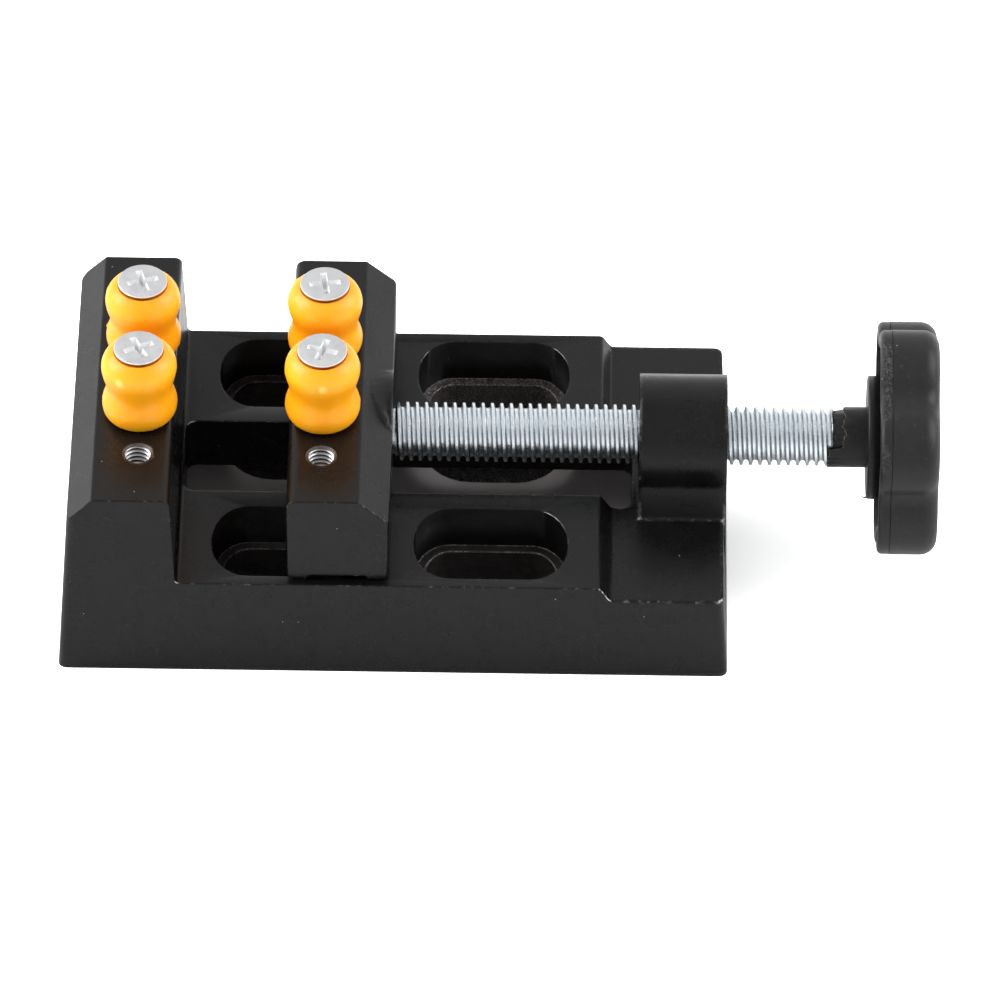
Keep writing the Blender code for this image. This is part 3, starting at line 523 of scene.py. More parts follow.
def knob_plastic():
    """Moulded black plastic, satin, with scuffs, a dusty band behind the parting line and painted shade on the
    collar and sleeve in front of the rim.
    """
    plastic = Shader("knob_plastic", (0.013, 0.013, 0.0133), 0.42, specular=0.25)
    cloud = plastic.noise(0.22, 5.0)
    scuff = plastic.ramp(plastic.noise(2.6, 7.0, 0.75, stretch=(0.6, 0.35, 1.0)), 0.57, 0.72)
    dusty = plastic.product(
        plastic.along("X", PARTING - DUSTY_BLUR, PARTING + DUSTY_BLUR, 1.0, 0.0),
        plastic.along("X", RIM_BACK, PARTING - DUSTY_BAND),
        plastic.ramp(plastic.noise(0.11, 2.0), 0.52, 0.60),
        plastic.ramp(plastic.noise(2.6, 6.0, 0.75), 0.48, 0.62))
    torn_noise = plastic.ramp(plastic.noise(3.5, 4.0, 0.7), 0.45, 0.6)
    torn = plastic.product(plastic.attribute("torn"), torn_noise)
    dust = plastic.specks(0.5, 0.08, 0.25)
    marks = plastic.math("MAXIMUM", plastic.product(scuff, 0.25), dusty)
    # Painted shade: the collar and sleeve in front of the rim are darker.
    painted_neck_shade = plastic.along("X", RIM_BACK - NECK_SHADE_BLEND, RIM_BACK, 1.0, 0.0)
    base = plastic.blend(cloud, (0.0105, 0.0105, 0.0107), (0.0155, 0.0155, 0.0158))
    base = plastic.blend(painted_neck_shade, base, (0.0060, 0.0060, 0.0062))
    marked = plastic.blend(torn, plastic.blend(marks, base, (0.085, 0.085, 0.087)), (0.30, 0.30, 0.31))
    plastic.link(plastic.blend(dust, marked, (0.45, 0.44, 0.42)), "Base Color")
    plastic.link(plastic.ramp(marks, 0.0, 1.0, 0.40, 0.6), "Roughness")
    plastic.bump((plastic.noise(6.0, 4.0), 0.000003), (dusty, 0.00006), (cloud, 0.00004), (torn, 0.00006))
    return plastic.material


def orange_plastic():
    """Soft-looking orange plastic with a little light inside it, painted shade on the shoulder under the head
    and a band of painted light on the upper bead.
    """
    plastic = Shader("orange_plastic", (1.0, 0.43, 0.006), 0.36, specular=0.4)
    cloud = plastic.noise(0.3, 4.0)
    body = plastic.blend(cloud, (1.0, 0.37, 0.004), (1.0, 0.41, 0.007))
    # Painted shade: darker, more saturated orange on the shoulder under the head.
    painted_shoulder_shade = plastic.along("Z", PEG_TOP - PEG_SHOULDER, PEG_TOP)
    body = plastic.blend(painted_shoulder_shade, body, (1.0, 0.35, 0.003))
    # Painted light: a paler, yellower band round the upper bead.
    height = plastic.part(plastic.coords, "Z")
    beside = plastic.math("ABSOLUTE", plastic.math("SUBTRACT", height, (PEG_LOW + PEG_PAINTED_LIGHT_BAND) * PER_MM))
    painted_light_band = plastic.ramp(beside, 0.0, PEG_SHOULDER * PER_MM, 0.9, 0.0)
    body = plastic.blend(painted_light_band, body, (1.0, 0.47, 0.018))
    plastic.link(plastic.blend(plastic.attribute("pale_mark"), body, (1.0, 0.66, 0.16)), "Base Color")
    plastic.set("Subsurface Weight", 0.5)
    plastic.set("Subsurface Radius", (1.0, 0.35, 0.05))
    plastic.set("Subsurface Scale", 0.0025)
    plastic.link(plastic.ramp(plastic.noise(1.5, 4.0), 0.3, 0.7, 0.30, 0.42), "Roughness")
    plastic.bump((plastic.noise(2.2, 3.0), 0.000006), (cloud, 0.00006))
    return plastic.material


def zinc():
    """Bright zinc plating, bluish, with dull and rubbed patches, fine grit and painted shade on the thread's
    flanks.
    """
    plating = Shader("zinc_plating", (0.60, 0.65, 0.70), 0.3, metallic=1.0)
    cloud = plating.noise(0.35, 5.0, 0.6)
    grit = plating.noise(7.0, 5.0, 0.75)
    tint = plating.blend(cloud, (0.60, 0.66, 0.71), (0.90, 0.94, 0.97))
    rubbed = plating.ramp(grit, 0.54, 0.68, 0.0, 0.9)
    shine = plating.blend(rubbed, tint, (0.96, 0.97, 0.98))
    # Painted shade: the thread's flanks are darker than its crests and roots.
    plating.link(plating.blend(plating.attribute("flank"), shine, (0.41, 0.45, 0.49)), "Base Color")
    plating.link(plating.ramp(grit, 0.3, 0.7, 0.16, 0.36), "Roughness")
    plating.bump((grit, 0.00003), (plating.noise(1.1, 3.0), 0.00004))
    return plating.material


def head_steel():
    """Plated screw heads, matt and faintly pitted."""
    steel = Shader("screw_head_plating", (0.66, 0.67, 0.68), 0.36, metallic=1.0)
    cloud = steel.noise(0.5, 5.0, 0.65)
    pits = steel.noise(9.0, 4.0, 0.7)
    steel.link(steel.blend(cloud, (0.50, 0.51, 0.525), (0.70, 0.705, 0.71)), "Base Color")
    steel.link(steel.ramp(cloud, 0.3, 0.7, 0.32, 0.48), "Roughness")
    steel.bump((pits, 0.00001))
    return steel.material


def painted_head_highlight():
    """Painted highlight on the screw heads' rims and the walls of their recesses: pale, mottled with darker
    patches.
    """
    steel = Shader("painted_highlight_head_edges", (0.80, 0.80, 0.81), 0.4, specular=0.5)
    highlight_mottle = steel.noise(1.6, 4.0, 0.65)
    steel.link(steel.blend(highlight_mottle, (0.50, 0.50, 0.51), (0.98, 0.98, 0.99)), "Base Color")
    steel.link(steel.ramp(highlight_mottle, 0.3, 0.7, 0.35, 0.5), "Roughness")
    steel.bump((steel.noise(5.0, 4.0), 0.00002))
    return steel.material


def cut_metal():
    """Bare metal of the tapped holes, with painted shade darkening its grooves and the mouth of each hole."""
    metal = Shader("tapped_metal", (0.30, 0.285, 0.28), 0.34, metallic=1.0)
    tone = metal.noise(2.5, 5.0, 0.7)
    bare = metal.blend(tone, (0.34, 0.33, 0.33), (0.78, 0.76, 0.75))
    metal.link(metal.blend(metal.attribute("painted_groove_shade"), bare, (0.03, 0.03, 0.03)), "Base Color")
    metal.link(metal.ramp(tone, 0.3, 0.7, 0.24, 0.5), "Roughness")
    metal.bump((metal.noise(14.0, 3.0), 0.000012))
    return metal.material


def plate_steel():
    """Dark brushed steel of the hidden plate and clip."""
    steel = Shader("dark_plate", (0.12, 0.12, 0.125), 0.42, metallic=1.0)
    grain = steel.noise(1.5, 6.0, 0.7, stretch=(0.15, 3.0, 1.0))
    steel.link(steel.blend(grain, (0.09, 0.09, 0.095), (0.17, 0.17, 0.175)), "Base Color")
    steel.link(steel.ramp(grain, 0.3, 0.7, 0.34, 0.5), "Roughness")
    steel.bump((grain, 0.000008))
    return steel.material


# ---------------------------------------------------------------- castings

def plain_corners(low, high, front, back):
    """Upright prism whose plan has small round corners, to trim a block's upright edges."""
    points = []
    corners = ((high.x - back, high.y - back, back, 0), (low.x + front, high.y - front, front, 1),
               (low.x + front, low.y + front, front, 2), (high.x - back, low.y + back, back, 3))
    for x, y, radius, quadrant in corners:
        for step in range(CORNER_STEPS + 1):
            angle = math.pi / 2 * (quadrant + step / CORNER_STEPS)
            points.append((x + radius * math.cos(angle), y + radius * math.sin(angle)))
    bm = bmesh.new()
    heights = (low.z - OVERRUN, high.z + OVERRUN)
    close_ends(bm, ring_surface(bm, [[Vector((x, y, z)) for x, y in points] for z in heights]))
    return finish_cutter(bm)


def dressed_copy(node, name, body, slot, *materials):
    """The CAD casting cleaned up, with duller, rougher coating inside the slots."""
    bm = bmesh.new()
    bm.from_mesh(frame["nodes"][node].data)
    bmesh.ops.remove_doubles(bm, verts=bm.verts, dist=0.000002)
    bmesh.ops.dissolve_limit(bm, angle_limit=math.radians(0.4), verts=bm.verts, edges=bm.edges)
    for face in bm.faces:
        middle = face.calc_center_median()
        in_slot = SLOT_REACH[0] < abs(middle.y) < SLOT_REACH[1] and node == "base_casting"
        if in_slot and GAP < middle.z < LEDGE_HEIGHT + GAP:
            face.material_index = 1
        elif in_slot and abs(face.normal.z) < 0.1 and middle.z > LEDGE_HEIGHT + GAP:
            face.material_index = 2
    mesh = to_mesh(bm, name)
    return add_piece(name, mesh, body, slot, *materials, replaced=(node,))


def even_shading(piece):
    """Normals weighted by area, so that broad faces look flat beside their small roundings."""
    modifier = piece.modifiers.new("Even shading", "WEIGHTED_NORMAL")
    modifier.keep_sharp = True
    modifier.weight = 80


def make_castings(coat, rough, slot_wall):
    base = dressed_copy("base_casting", "base_casting_coated", "base", "black_coated_casting",
                        coat, rough, slot_wall)
    even_shading(base)
    jaw = dressed_copy("moving_jaw", "moving_jaw_coated", "jaw_carriage", "black_coated_casting", coat)
    cut(jaw, plain_corners(JAW_LOW, JAW_HIGH, JAW_FRONT_CORNER, JAW_BACK_CORNER), "INTERSECT")
    shade(jaw.data)
    even_shading(jaw)


# ---------------------------------------------------------------- screw

def helical(bm, start, end, flank, pitch, crest, root, steps, centre, axis, phase, chamfer=0.0):
    """Rolled thread between two places on the axis, its rings of points following the helix."""
    stations = list(flank) + [(1 - place, height) for place, height in reversed(flank[1:])]
    turns = math.ceil((end - start) / pitch) + 2
    rings = []
    for turn in range(-1, turns):
        for station, height in stations:
            ring = []
            for step in range(steps + 1):
                share = step / steps
                along = start + (turn + station + share + phase - 1) * pitch
                inside = min(max(along, start), end)
                radius = root + (crest - root) * height
                if chamfer:
                    edge = min(inside - start, end - inside)
                    radius = min(radius, root + edge / chamfer * (crest - root))
                from_centre = inside - (centre.x if axis == "X" else centre.z)
                ring.append(turned(centre, axis, radius, 2 * math.pi * share, from_centre))
            rings.append(ring)
    ring_surface(bm, rings, closed=False)


def make_lead_screw(material):
    """Threaded shaft with its journal in the jaw and its tang in the knob."""
    bm = bmesh.new()
    flank = bm.verts.layers.float.new("flank")
    start, end = JAW_HIGH.x + GAP, KNOB_LOW.x + THREAD_UNDER_SLEEVE
    helical(bm, start, end, THREAD_FLANK, PITCH, CREST_RADIUS, ROOT_RADIUS, THREAD_TURN_STEPS, AXIS, "X",
            THREAD_PHASE, THREAD_CHAMFER)
    # Vertices on the flanks are marked for painted shade.
    for vert in bm.verts:
        out = math.hypot(vert.co.y - AXIS.y, vert.co.z - AXIS.z) - ROOT_RADIUS
        share = out / (CREST_RADIUS - ROOT_RADIUS)
        vert[flank] = 1.0 if FLANK_SHADE_BAND[0] < share < FLANK_SHADE_BAND[1] else 0.0
    for low, high, radius in ((SCREW_LOW.x, start, JOURNAL_RADIUS), (end, SCREW_HIGH.x, TANG_RADIUS)):
        close_ends(bm, lathe(bm, [(radius, low - AXIS.x), (radius, high - AXIS.x)], AXIS, "X", SHAFT_STEPS))
    for place in (start, end):
        bm.faces.new(lathe(bm, [(ROOT_RADIUS, place - AXIS.x)], AXIS, "X", SHAFT_STEPS)[0])
    finish_shell(bm)
    mesh = to_mesh(bm, "lead_screw_thread", math.radians(30.0))
    add_piece("lead_screw_thread", mesh, "screw", "zinc_plated_steel", material, replaced=("lead_screw",))


def make_hole_threads(material):
    """Tapped walls of the bare peg holes, two in each jaw."""
    top = JAW_HIGH.z
    for row, body in (("fixed", "base"), ("moving", "jaw_carriage")):
        low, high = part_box(f"{row}_peg_near")
        for place, y in (("near", -OUTER_HOLE_OFFSET), ("far", OUTER_HOLE_OFFSET)):
            bm = bmesh.new()
            painted_groove_shade = bm.verts.layers.float.new("painted_groove_shade")
            centre = Vector(((low.x + high.x) / 2, y, top))
            helical(bm, top - HOLE_THREAD_DEPTH, top - HOLE_MOUTH, HOLE_FLANK, HOLE_PITCH,
                    HOLE_CREST_RADIUS, HOLE_ROOT_RADIUS, HOLE_TURN_STEPS, centre, "Z", HOLE_PHASE)
            # Painted shade: the deeper into a groove, the darker.
            for vert in bm.verts:
                out = math.hypot(vert.co.x - centre.x, vert.co.y - centre.y) - HOLE_CREST_RADIUS
                vert[painted_groove_shade] = out / (HOLE_ROOT_RADIUS - HOLE_CREST_RADIUS)
            shell = lathe(bm, [
                (HOLE_CREST_RADIUS, -HOLE_MOUTH),
                (HOLE_SHELL_RADIUS, -HOLE_SHELL_DROP),
                (HOLE_SHELL_RADIUS, -HOLE_THREAD_DEPTH),
                (HOLE_CREST_RADIUS, -HOLE_THREAD_DEPTH),
            ], centre, "Z", HOLE_TURN_STEPS)
            # Painted shade at the mouth of the hole.
            for vert in shell[0] + shell[1]:
                vert[painted_groove_shade] = HOLE_MOUTH_PAINTED_SHADE
            bm.faces.new(lathe(bm, [(HOLE_CREST_RADIUS, -HOLE_THREAD_DEPTH)], centre, "Z", HOLE_TURN_STEPS)[0])
            name = f"{row}_hole_thread_{place}"
            add_piece(name, to_mesh(bm, name, math.radians(40.0)), body, "zinc_plated_steel", material)


# ---------------------------------------------------------------- knob

def star_ring(x, inset):
    """Closed ring of the rim's outline at a place along X, moved in by the inset."""
    lobe = LOBE_RADIUS - inset
    valley = LOBE_VALLEY_RADIUS + inset
    half_pitch = math.pi / LOBE_COUNT
    reach = lobe + valley
    across = LOBE_OFFSET * math.sin(half_pitch)
    valley_offset = LOBE_OFFSET * math.cos(half_pitch) + math.sqrt(reach ** 2 - across ** 2)
    lobe_half = math.pi - math.acos(
        (reach ** 2 + LOBE_OFFSET ** 2 - valley_offset ** 2) / (2 * reach * LOBE_OFFSET))
    valley_half = lobe_half - half_pitch
    ring = []
    for index in range(LOBE_COUNT):
        aim = math.pi / 2 - LOBE_TURN - 2 * half_pitch * index
        centre = Vector((math.cos(aim), math.sin(aim))) * LOBE_OFFSET
        for step in range(LOBE_STEPS + 1):
            angle = aim + lobe_half - 2 * lobe_half * step / LOBE_STEPS
            ring.append(centre + Vector((math.cos(angle), math.sin(angle))) * lobe)
        aim -= half_pitch
        centre = Vector((math.cos(aim), math.sin(aim))) * valley_offset
        for step in range(1, VALLEY_STEPS):
            angle = aim + math.pi - valley_half + 2 * valley_half * step / VALLEY_STEPS
            ring.append(centre + Vector((math.cos(angle), math.sin(angle))) * valley)
    return [Vector((x, AXIS.y + point.x, AXIS.z + point.y)) for point in ring]


def quarter(centre_x, centre_inset, radius, start, end, steps):
    """Stations (x, inset) of an arc; the angle turns from +X towards the outside."""
    stations = []
    for step in range(steps + 1):
        angle = start + (end - start) * step / steps
        stations.append((centre_x + radius * math.cos(angle), centre_inset - radius * math.sin(angle)))
    return stations


def add_knob_piece(name, bm, angle, material, replaced=()):
    add_piece(name, to_mesh(bm, name, angle), "screw", "black_plastic", material, replaced=replaced)


def make_rim(material):
    """Lobed rim and front wall: from the inside of the front wall round the lip and over the outside."""
    front, lip = KNOB_HIGH.x, RIM_BACK_RADIUS
    stations = [
        (RIM_FLOOR, RIM_WALL + 2 * MM),
        (RIM_FLOOR, RIM_WALL + RIM_FLOOR_FILLET),
        (RIM_FLOOR - RIM_FLOOR_FILLET, RIM_WALL),
        (RIM_BACK + lip * 0.6, RIM_WALL - 0.15 * MM),
        (RIM_BACK + lip * 0.15, RIM_WALL - 0.35 * MM),
        (RIM_BACK, RIM_WALL - 0.75 * MM),
        *quarter(RIM_BACK + lip, lip + PARTING_STEP, lip, math.pi, math.pi / 2, 5),
        (PARTING - PARTING_HALF_WIDTH, PARTING_STEP),
        (PARTING, PARTING_STEP * 2.2),
        (PARTING + PARTING_HALF_WIDTH, 0.0),
        ((PARTING + front - RIM_FRONT_RADIUS) / 2, 0.0),
        *quarter(front - RIM_FRONT_RADIUS, RIM_FRONT_RADIUS, RIM_FRONT_RADIUS, math.pi / 2, 0, 9),
        (front - 0.05 * MM, RIM_FRONT_RADIUS + 1.2 * MM),
    ]
    bm = bmesh.new()
    close_ends(bm, ring_surface(bm, [star_ring(x, inset) for x, inset in stations]))
    finish_shell(bm)
    add_knob_piece("knob_rim", bm, math.radians(50.0), material, replaced=("knob",))


def make_hub(material):
    """Hub with its collar, and the spike of flash on the collar's lower edge."""
    collar_front = COLLAR_BACK + COLLAR_THICKNESS
    profile = [
        (SLEEVE_RADIUS - COLLAR_EDGE, COLLAR_BACK + 0.02 * MM),
        (SLEEVE_RADIUS + COLLAR_EDGE, COLLAR_BACK),
        (COLLAR_RADIUS - COLLAR_EDGE, COLLAR_BACK),
        (COLLAR_RADIUS - COLLAR_EDGE * 0.3, COLLAR_BACK + COLLAR_EDGE * 0.3),
        (COLLAR_RADIUS, COLLAR_BACK + COLLAR_EDGE),
        (COLLAR_RADIUS, collar_front - COLLAR_EDGE),
        (COLLAR_RADIUS - COLLAR_EDGE, collar_front),
        (HUB_RADIUS + HUB_FILLET, collar_front),
        (HUB_RADIUS, collar_front + HUB_FILLET),
        (HUB_RADIUS, RIM_FLOOR),
    ]
    bm = bmesh.new()
    close_ends(bm, lathe(bm, [(radius, x - AXIS.x) for radius, x in profile], AXIS, "X", COLLAR_STEPS))
    down = Vector((0.0, -math.sin(FLASH_TURN), -math.cos(FLASH_TURN)))
    across = Vector((0.0, down.z, -down.y))
    rings = []
    for standout, drop, half in FLASH_STATIONS:
        middle = AXIS + down * (COLLAR_RADIUS - drop)
        middle.x = COLLAR_BACK - standout
        rings.append([middle + across * half, middle - down * half,
                      middle - across * half, middle + down * half])
    close_ends(bm, ring_surface(bm, rings))
    finish_shell(bm)
    add_knob_piece("knob_hub", bm, math.radians(45.0), material)


def make_ribs(material):
    """Ribs between the hub and the lobes, inside the knob's hollow back."""
    low, high = RIM_BACK + RIB_INSET, RIM_FLOOR + RIB_SINK
    inner, outer = HUB_RADIUS - RIB_HUB_SINK, LOBE_OFFSET + RIB_REACH
    for index in range(LOBE_COUNT):
        bm = bmesh.new()
        bmesh.ops.create_cube(bm, size=1.0)
        bmesh.ops.scale(bm, verts=bm.verts, vec=(high - low, RIB_THICKNESS, outer - inner))
        bmesh.ops.translate(bm, verts=bm.verts, vec=((low + high) / 2, 0, (inner + outer) / 2))
        bmesh.ops.bevel(bm, geom=bm.edges, offset=RIB_EDGE, segments=2, profile=0.5, affect="EDGES")
        turn = -LOBE_TURN - math.pi * (2 * index + 1) / LOBE_COUNT
        bmesh.ops.rotate(bm, verts=bm.verts, cent=(0, 0, 0), matrix=Matrix.Rotation(turn, 3, "X"))
        bmesh.ops.translate(bm, verts=bm.verts, vec=(0, AXIS.y, AXIS.z))
        add_knob_piece(f"knob_rib_{index + 1}", bm, SMOOTH_ANGLE, material)


def chipped_end(turn, depth, jag):
    """How far a torn moulding edge stands back at an angle round the axis: deep over the top, ragged."""
    top = 0.5 + 0.5 * math.sin(turn)
    step = min(1.0, max(0.0, (top - TEAR_START) / TEAR_BLEND))
    rough = noise.noise(Vector((math.cos(turn) * 4, math.sin(turn) * 4, depth * 900)))
    fine = noise.noise(Vector((math.cos(turn) * 14, math.sin(turn) * 14, depth * 500)))
    return max(0.0, depth * step + jag * (rough + 0.8 * fine) + jag * 0.6)


def make_sleeve(material):
    """Sleeve between collar and thread: torn back over its top, with a thinner layer showing under it."""
    for number, (radius, bore, depth, jag) in enumerate(SLEEVE_LAYERS, 1):
        rings = [[], [], [], [], []]
        for step in range(SLEEVE_STEPS):
            turn = 2 * math.pi * step / SLEEVE_STEPS
            start = KNOB_LOW.x + chipped_end(turn, depth, jag)
            wobble = SLEEVE_WOBBLE * noise.noise(Vector((math.cos(turn) * 3, math.sin(turn) * 3, number)))
            places = (
                (bore, start + 0.20 * MM), (radius - 0.06 * MM, start + 0.02 * MM),
                (radius + wobble, start + 0.12 * MM), (radius, (start + COLLAR_BACK) / 2),
                (radius, COLLAR_BACK + 0.30 * MM))
            for ring, (reach, x) in zip(rings, places):
                ring.append(turned(AXIS, "X", reach, turn, x - AXIS.x))
        bm = bmesh.new()
        torn = bm.verts.layers.float.new("torn")
        for row in ring_surface(bm, rings)[:2]:
            for vert in row:
                vert[torn] = 1.0
        finish_shell(bm)
        add_knob_piece(f"knob_sleeve_{number}", bm, math.radians(40.0), material)


def make_knob(material):
    make_rim(material)
    make_hub(material)
    make_ribs(material)
    make_sleeve(material)


# ---------------------------------------------------------------- pegs

def peg_profile(low, top):
    """Half profile (radius, height) from the seat of the head, over the face and down to the foot."""
    mouth = top - PEG_MOUTH_DROP
    stations = [
        (PEG_MOUTH_RADIUS, mouth),
        (PEG_RADIUS, low + PEG_UPPER_BULGE),
        (PEG_WAIST_RADIUS, low + PEG_WAIST),
        (PEG_RADIUS, low + PEG_LOWER_BULGE),
        (PEG_FOOT_RADIUS, low),
    ]
    points = [(PEG_BORE_RADIUS, top - PEG_SEAT_DEPTH), (PEG_SEAT_RADIUS, mouth - 0.05 * MM), stations[0]]
    crown_reach = PEG_RADIUS - PEG_CROWN_RADIUS
    crown_start = math.asin((PEG_MOUTH_RADIUS - PEG_CROWN_RADIUS) / crown_reach)
    for index, ((above, high), (below, deep)) in enumerate(zip(stations, stations[1:])):
        for step in range(1, PEG_CURVE_STEPS + 1):
            share = step / PEG_CURVE_STEPS
            turn = share * math.pi / 2
            if index == 0:
                turn = crown_start + (math.pi / 2 - crown_start) * share
                rise = (high - deep) * math.cos(turn) / math.cos(crown_start)
                points.append((PEG_CROWN_RADIUS + crown_reach * math.sin(turn), deep + rise))
            elif index == len(stations) - 2:
                points.append((below + (above - below) * math.cos(turn), high + (deep - high) * math.sin(turn)))
            else:
                from_bulge = share if above > below else 1 - share
                dip = (1 - math.cos(math.pi * from_bulge)) / 2
                radius = PEG_RADIUS + (PEG_WAIST_RADIUS - PEG_RADIUS) * dip
                points.append((radius, high + (deep - high) * share))
    points.append((PEG_BORE_RADIUS, low))
    return points


def make_peg(name, body, material, seam_turn, gate_turn, nubs):
    """Moulded peg: waisted, a faint seam down two sides and the pale mark where the plastic was fed in."""
    low_corner, high_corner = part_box(name)
    centre = (low_corner + high_corner) / 2
    low, top = low_corner.z, high_corner.z
    bm = bmesh.new()
    mark = bm.verts.layers.float.new("pale_mark")
    rings = []
    for radius, height in peg_profile(low, top):
        ring = []
        for step in range(PEG_STEPS):
            turn = 2 * math.pi * step / PEG_STEPS
            reach = radius
            if radius > PEG_SEAT_RADIUS:
                seam = math.exp(-(math.sin(turn - seam_turn) / PEG_SEAM_WIDTH) ** 2)
                wobble = noise.noise(Vector((turn, height * 400, len(name))))
                reach += PEG_SEAM * seam + PEG_WOBBLE * wobble
                for nub_turn, nub_height in nubs:
                    beside = radius * math.sin(turn - nub_turn) if math.cos(turn - nub_turn) > 0 else radius
                    away = math.hypot(beside, height - low - nub_height) / PEG_NUB_WIDTH
                    reach += PEG_NUB * math.exp(-away ** 2)
            ring.append(Vector((centre.x + reach * math.cos(turn), centre.y + reach * math.sin(turn), height)))
        rings.append(ring)
    rows = ring_surface(bm, rings)
    if gate_turn is not None:
        spot = Vector((centre.x + PEG_RADIUS * math.cos(gate_turn),
                       centre.y + PEG_RADIUS * math.sin(gate_turn), low + PEG_GATE_HEIGHT))
        for vert in bm.verts:
            away = (vert.co - spot).length
            vert[mark] = max(0.0, 1.0 - (away / PEG_GATE_RADIUS) ** 2)
    close_ends(bm, rows)
    finish_shell(bm)
    mesh = to_mesh(bm, f"{name}_moulding", math.radians(50.0))
    add_piece(f"{name}_moulding", mesh, body, "orange_plastic", material, replaced=(name,))


def arm_cutter(centre, top, turn):
    """Tapered flat plug for one arm of the driver recess."""
    bm = bmesh.new()
    spin = Matrix.Rotation(turn, 3, "Z")
    rings = []
    for depth, long_share, wide_share in CROSS_STATIONS:
        arm, half = CROSS_ARM * long_share, CROSS_WIDTH * wide_share
        middle = Vector((centre.x, centre.y, top - depth))
        corners = ((-arm, -half), (arm, -half), (arm, half), (-arm, half))
        rings.append([spin @ Vector((x, y, 0)) + middle for x, y in corners])
    close_ends(bm, ring_surface(bm, rings))
    return finish_cutter(bm)


def make_peg_screw(name, body, material, bright, turn):
    """Countersunk screw with a thin cylindrical rim and a cross recess."""
    low_corner, high_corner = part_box(name)
    centre = (low_corner + high_corner) / 2
    top = high_corner.z
    seat = top - HEAD_RIM
    profile = [
        (HEAD_RADIUS - HEAD_EDGE * 2, top),
        (HEAD_RADIUS - HEAD_EDGE * 0.4, top - HEAD_EDGE * 0.5),
        (HEAD_RADIUS, top - HEAD_EDGE * 1.3),
        (HEAD_RADIUS, seat + HEAD_EDGE),
        (HEAD_RADIUS - HEAD_EDGE, seat),
        (SHANK_RADIUS, seat - HEAD_CONE),
        (SHANK_RADIUS, low_corner.z),
    ]
    bm = bmesh.new()
    close_ends(bm, lathe(bm, profile, Vector((centre.x, centre.y, 0)), "Z", HEAD_STEPS))
    finish_shell(bm)
    piece = add_piece(f"{name}_body", to_mesh(bm, f"{name}_body"), body, "zinc_plated_steel", material,
                      bright, replaced=(name,))
    for arm_turn in (turn, turn + math.pi / 2):
        cut(piece, arm_cutter(centre, top, arm_turn))
    # The rim and the recess walls take the painted highlight; the rest keeps the plain head plating.
    for face in piece.data.polygons:
        off_axis = math.hypot(face.center.x - centre.x, face.center.y - centre.y)
        below = face.center.z < top - HEAD_EDGE * 0.2
        in_recess = off_axis < CROSS_ARM * 1.1 and face.center.z > top - CROSS_DEPTH - HEAD_EDGE
        face.material_index = 1 if below and (in_recess or off_axis > HEAD_RADIUS - HEAD_EDGE) else 0
    shade(piece.data, math.radians(30.0))


# ---------------------------------------------------------------- stage

def footprint_mask(table):
    """1 on the table inside the casting's footprint, 0 outside it."""
    place = table.nodes.new("ShaderNodeTexCoord").outputs["Object"]
    sides = []
    for axis, low, high in (("X", BASE_LOW.x, BASE_HIGH.x), ("Y", BASE_LOW.y, BASE_HIGH.y)):
        value = table.part(place, axis)
        sides += [table.ramp(value, low, low + TABLE_FADE), table.ramp(value, high, high - TABLE_FADE)]
    return table.product(*sides)


def table_white():
    """White table. Around the casting it is as white as the backdrop; under it, where it is seen, it is darker
    with painted shade and has a faint glow of painted light.
    """
    table = Graph("white_table")
    nodes, links = table.nodes, table.links
    nodes.remove(nodes["Principled BSDF"])
    path = nodes.new("ShaderNodeLightPath").outputs
    # 1 for rays from the camera, a mirror or a lens, 0 for the light that bounces about
    seen = table.math("MAXIMUM", table.math("MAXIMUM", path["Is Camera Ray"], path["Is Glossy Ray"]),
                      path["Is Transmission Ray"])
    footprint = footprint_mask(table)
    around = table.blend(path["Is Camera Ray"], TABLE_MIRRORED, TABLE_OPEN)
    # Painted shade: under the casting the table is seen darker than it is lit.
    shown = table.blend(footprint, around, TABLE_UNDER_PAINTED_SHADE)
    diffuse = nodes.new("ShaderNodeBsdfDiffuse")
    links.new(table.blend(seen, TABLE_LIT, shown), diffuse.inputs["Color"])
    # Painted light: a faint glow of the table under the casting, for what is seen.
    glow = nodes.new("ShaderNodeEmission")
    glow.inputs["Color"].default_value = (*TABLE_UNDER_PAINTED_LIGHT, 1.0)
    links.new(table.product(footprint, seen), glow.inputs["Strength"])
    both = nodes.new("ShaderNodeAddShader")
    links.new(diffuse.outputs["BSDF"], both.inputs[0])
    links.new(glow.outputs["Emission"], both.inputs[1])
    links.new(both.outputs["Shader"], nodes["Material Output"].inputs["Surface"])
    return table.material


def make_floor():
    bm = bmesh.new()
    signs = ((-1, -1), (1, -1), (1, 1), (-1, 1))
    bm.faces.new([bm.verts.new((x * FLOOR_REACH, y * FLOOR_REACH, 0)) for x, y in signs])
    mesh = bpy.data.meshes.new("table")
    bm.to_mesh(mesh)
    bm.free()
    mesh.materials.append(table_white())
    floor = new_object("table", mesh)
    floor.location.z = min(0.0, BASE_LOW.z) - FLOOR_DROP


def make_world():
    world = bpy.data.worlds.new("studio")
    bpy.context.scene.world = world
    world.use_nodes = True
    background = world.node_tree.nodes["Background"]
    background.inputs["Color"].default_value = (1.0, 1.0, 1.0, 1.0)
    background.inputs["Strength"].default_value = 1.0


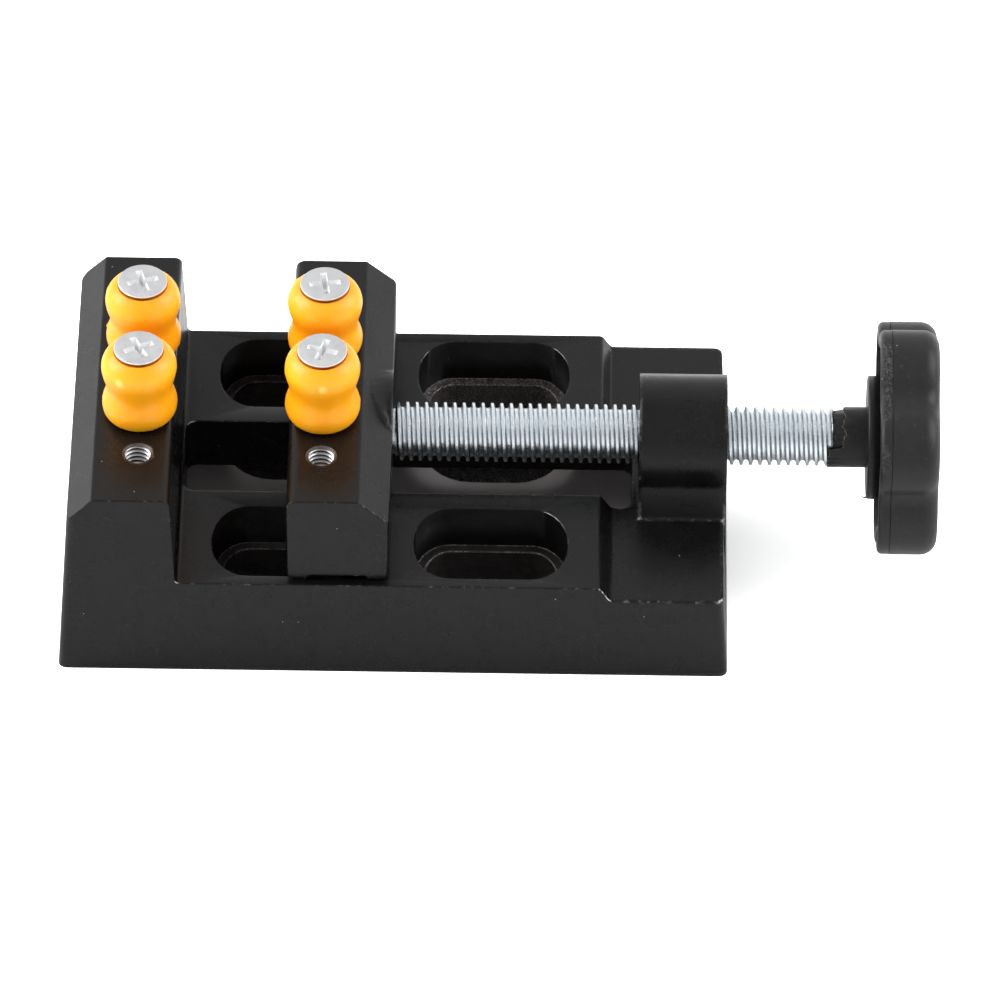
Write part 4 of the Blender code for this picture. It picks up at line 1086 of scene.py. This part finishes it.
def make_hood():
    """Dark curved screen behind and above the camera, which gives the black coating its darker bands."""
    rings = []
    for side in (-HOOD_HALF_WIDTH, HOOD_HALF_WIDTH):
        ring = []
        for step in range(HOOD_STEPS + 1):
            angle = HOOD_ANGLES[0] + (HOOD_ANGLES[1] - HOOD_ANGLES[0]) * step / HOOD_STEPS
            ring.append(Vector((side, -HOOD_RADIUS * math.cos(angle), HOOD_RADIUS * math.sin(angle))))
        rings.append(ring)
    bm = bmesh.new()
    ring_surface(bm, rings, closed=False)
    mesh = to_mesh(bm, "studio_hood")
    cloth = Shader("hood_cloth", (0.62, 0.62, 0.62), 0.9, specular=0.1)
    cloth.link(cloth.blend(cloth.noise(0.02, 3.0), (0.59, 0.59, 0.59), (0.65, 0.65, 0.65)), "Base Color")
    mesh.materials.append(cloth.material)
    hood = new_object("studio_hood", mesh)


def make_lights():
    """Two softboxes aimed at the vise."""
    for name, place, power in SOFTBOXES:
        light = bpy.data.lights.new(name, "AREA")
        light.shape = "RECTANGLE"
        light.size, light.size_y = SOFTBOX_SIZE
        light.energy = power
        lamp = new_object(name, light)
        lamp.location = place
        lamp.rotation_mode = "QUATERNION"
        lamp.rotation_quaternion = (-Vector(place)).to_track_quat("-Z", "Y")


def make_camera():
    data = bpy.data.cameras.new("camera")
    data.sensor_width = CAMERA_SENSOR
    data.lens = CAMERA_LENS
    data.clip_start, data.clip_end = CAMERA_CLIP
    camera = new_object("camera", data)
    yaw = Matrix.Rotation(CAMERA_YAW, 3, "Z")
    sine, cosine = math.sin(CAMERA_ELEVATION), math.cos(CAMERA_ELEVATION)
    forward = yaw @ Vector((0, cosine, -sine))
    level_right = yaw @ Vector((1, 0, 0))
    level_up = yaw @ Vector((0, sine, cosine))
    right = math.cos(CAMERA_ROLL) * level_right + math.sin(CAMERA_ROLL) * level_up
    up = math.cos(CAMERA_ROLL) * level_up - math.sin(CAMERA_ROLL) * level_right
    turn = Matrix((right, up, -forward)).transposed()
    camera.matrix_world = Matrix.Translation(CAMERA_TARGET - forward * CAMERA_DISTANCE) @ turn.to_4x4()
    bpy.context.scene.camera = camera


# ---------------------------------------------------------------- build

def dress_plain_nodes(materials):
    """CAD nodes whose shape is right as it is keep it and get a finished material."""
    for node, key in (("guide_plate", "plate"), ("guide_plate_screw_near", "head"),
                      ("guide_plate_screw_far", "head"), ("thrust_washer", "zinc"),
                      ("retaining_clip", "plate")):
        mesh = frame["nodes"][node].data
        mesh.materials.clear()
        mesh.materials.append(materials[key])


def build():
    bpy.context.scene.view_settings.view_transform = "Standard"
    materials = {
        "coat": coated_casting(), "rough": rough_casting(), "slot_wall": slot_wall_casting(),
        "knob": knob_plastic(), "orange": orange_plastic(), "zinc": zinc(), "head": head_steel(),
        "bright": painted_head_highlight(), "cut": cut_metal(), "plate": plate_steel(),
    }
    make_castings(materials["coat"], materials["rough"], materials["slot_wall"])
    make_lead_screw(materials["zinc"])
    make_hole_threads(materials["cut"])
    make_knob(materials["knob"])
    pegs = (                        # row, place, body, seam, feed mark, turn of the recess, flash nubs
        ("fixed", "near", "base", 0.35, math.radians(-120), math.radians(26), ()),
        ("fixed", "far", "base", -0.2, None, math.radians(17), ((0.0, 6.9 * MM), (math.pi, 3.1 * MM))),
        ("moving", "near", "jaw_carriage", 0.1, math.radians(-88), math.radians(-17), ()),
        ("moving", "far", "jaw_carriage", 0.6, None, math.radians(8), ((math.radians(150), 9.3 * MM),)),
    )
    for row, place, body, seam, gate, turn, nubs in pegs:
        make_peg(f"{row}_peg_{place}", body, materials["orange"], seam, gate, nubs)
        make_peg_screw(f"{row}_peg_screw_{place}", body, materials["head"], materials["bright"], turn)
    dress_plain_nodes(materials)
    make_floor()
    make_world()
    make_hood()
    make_lights()
    make_camera()


build()
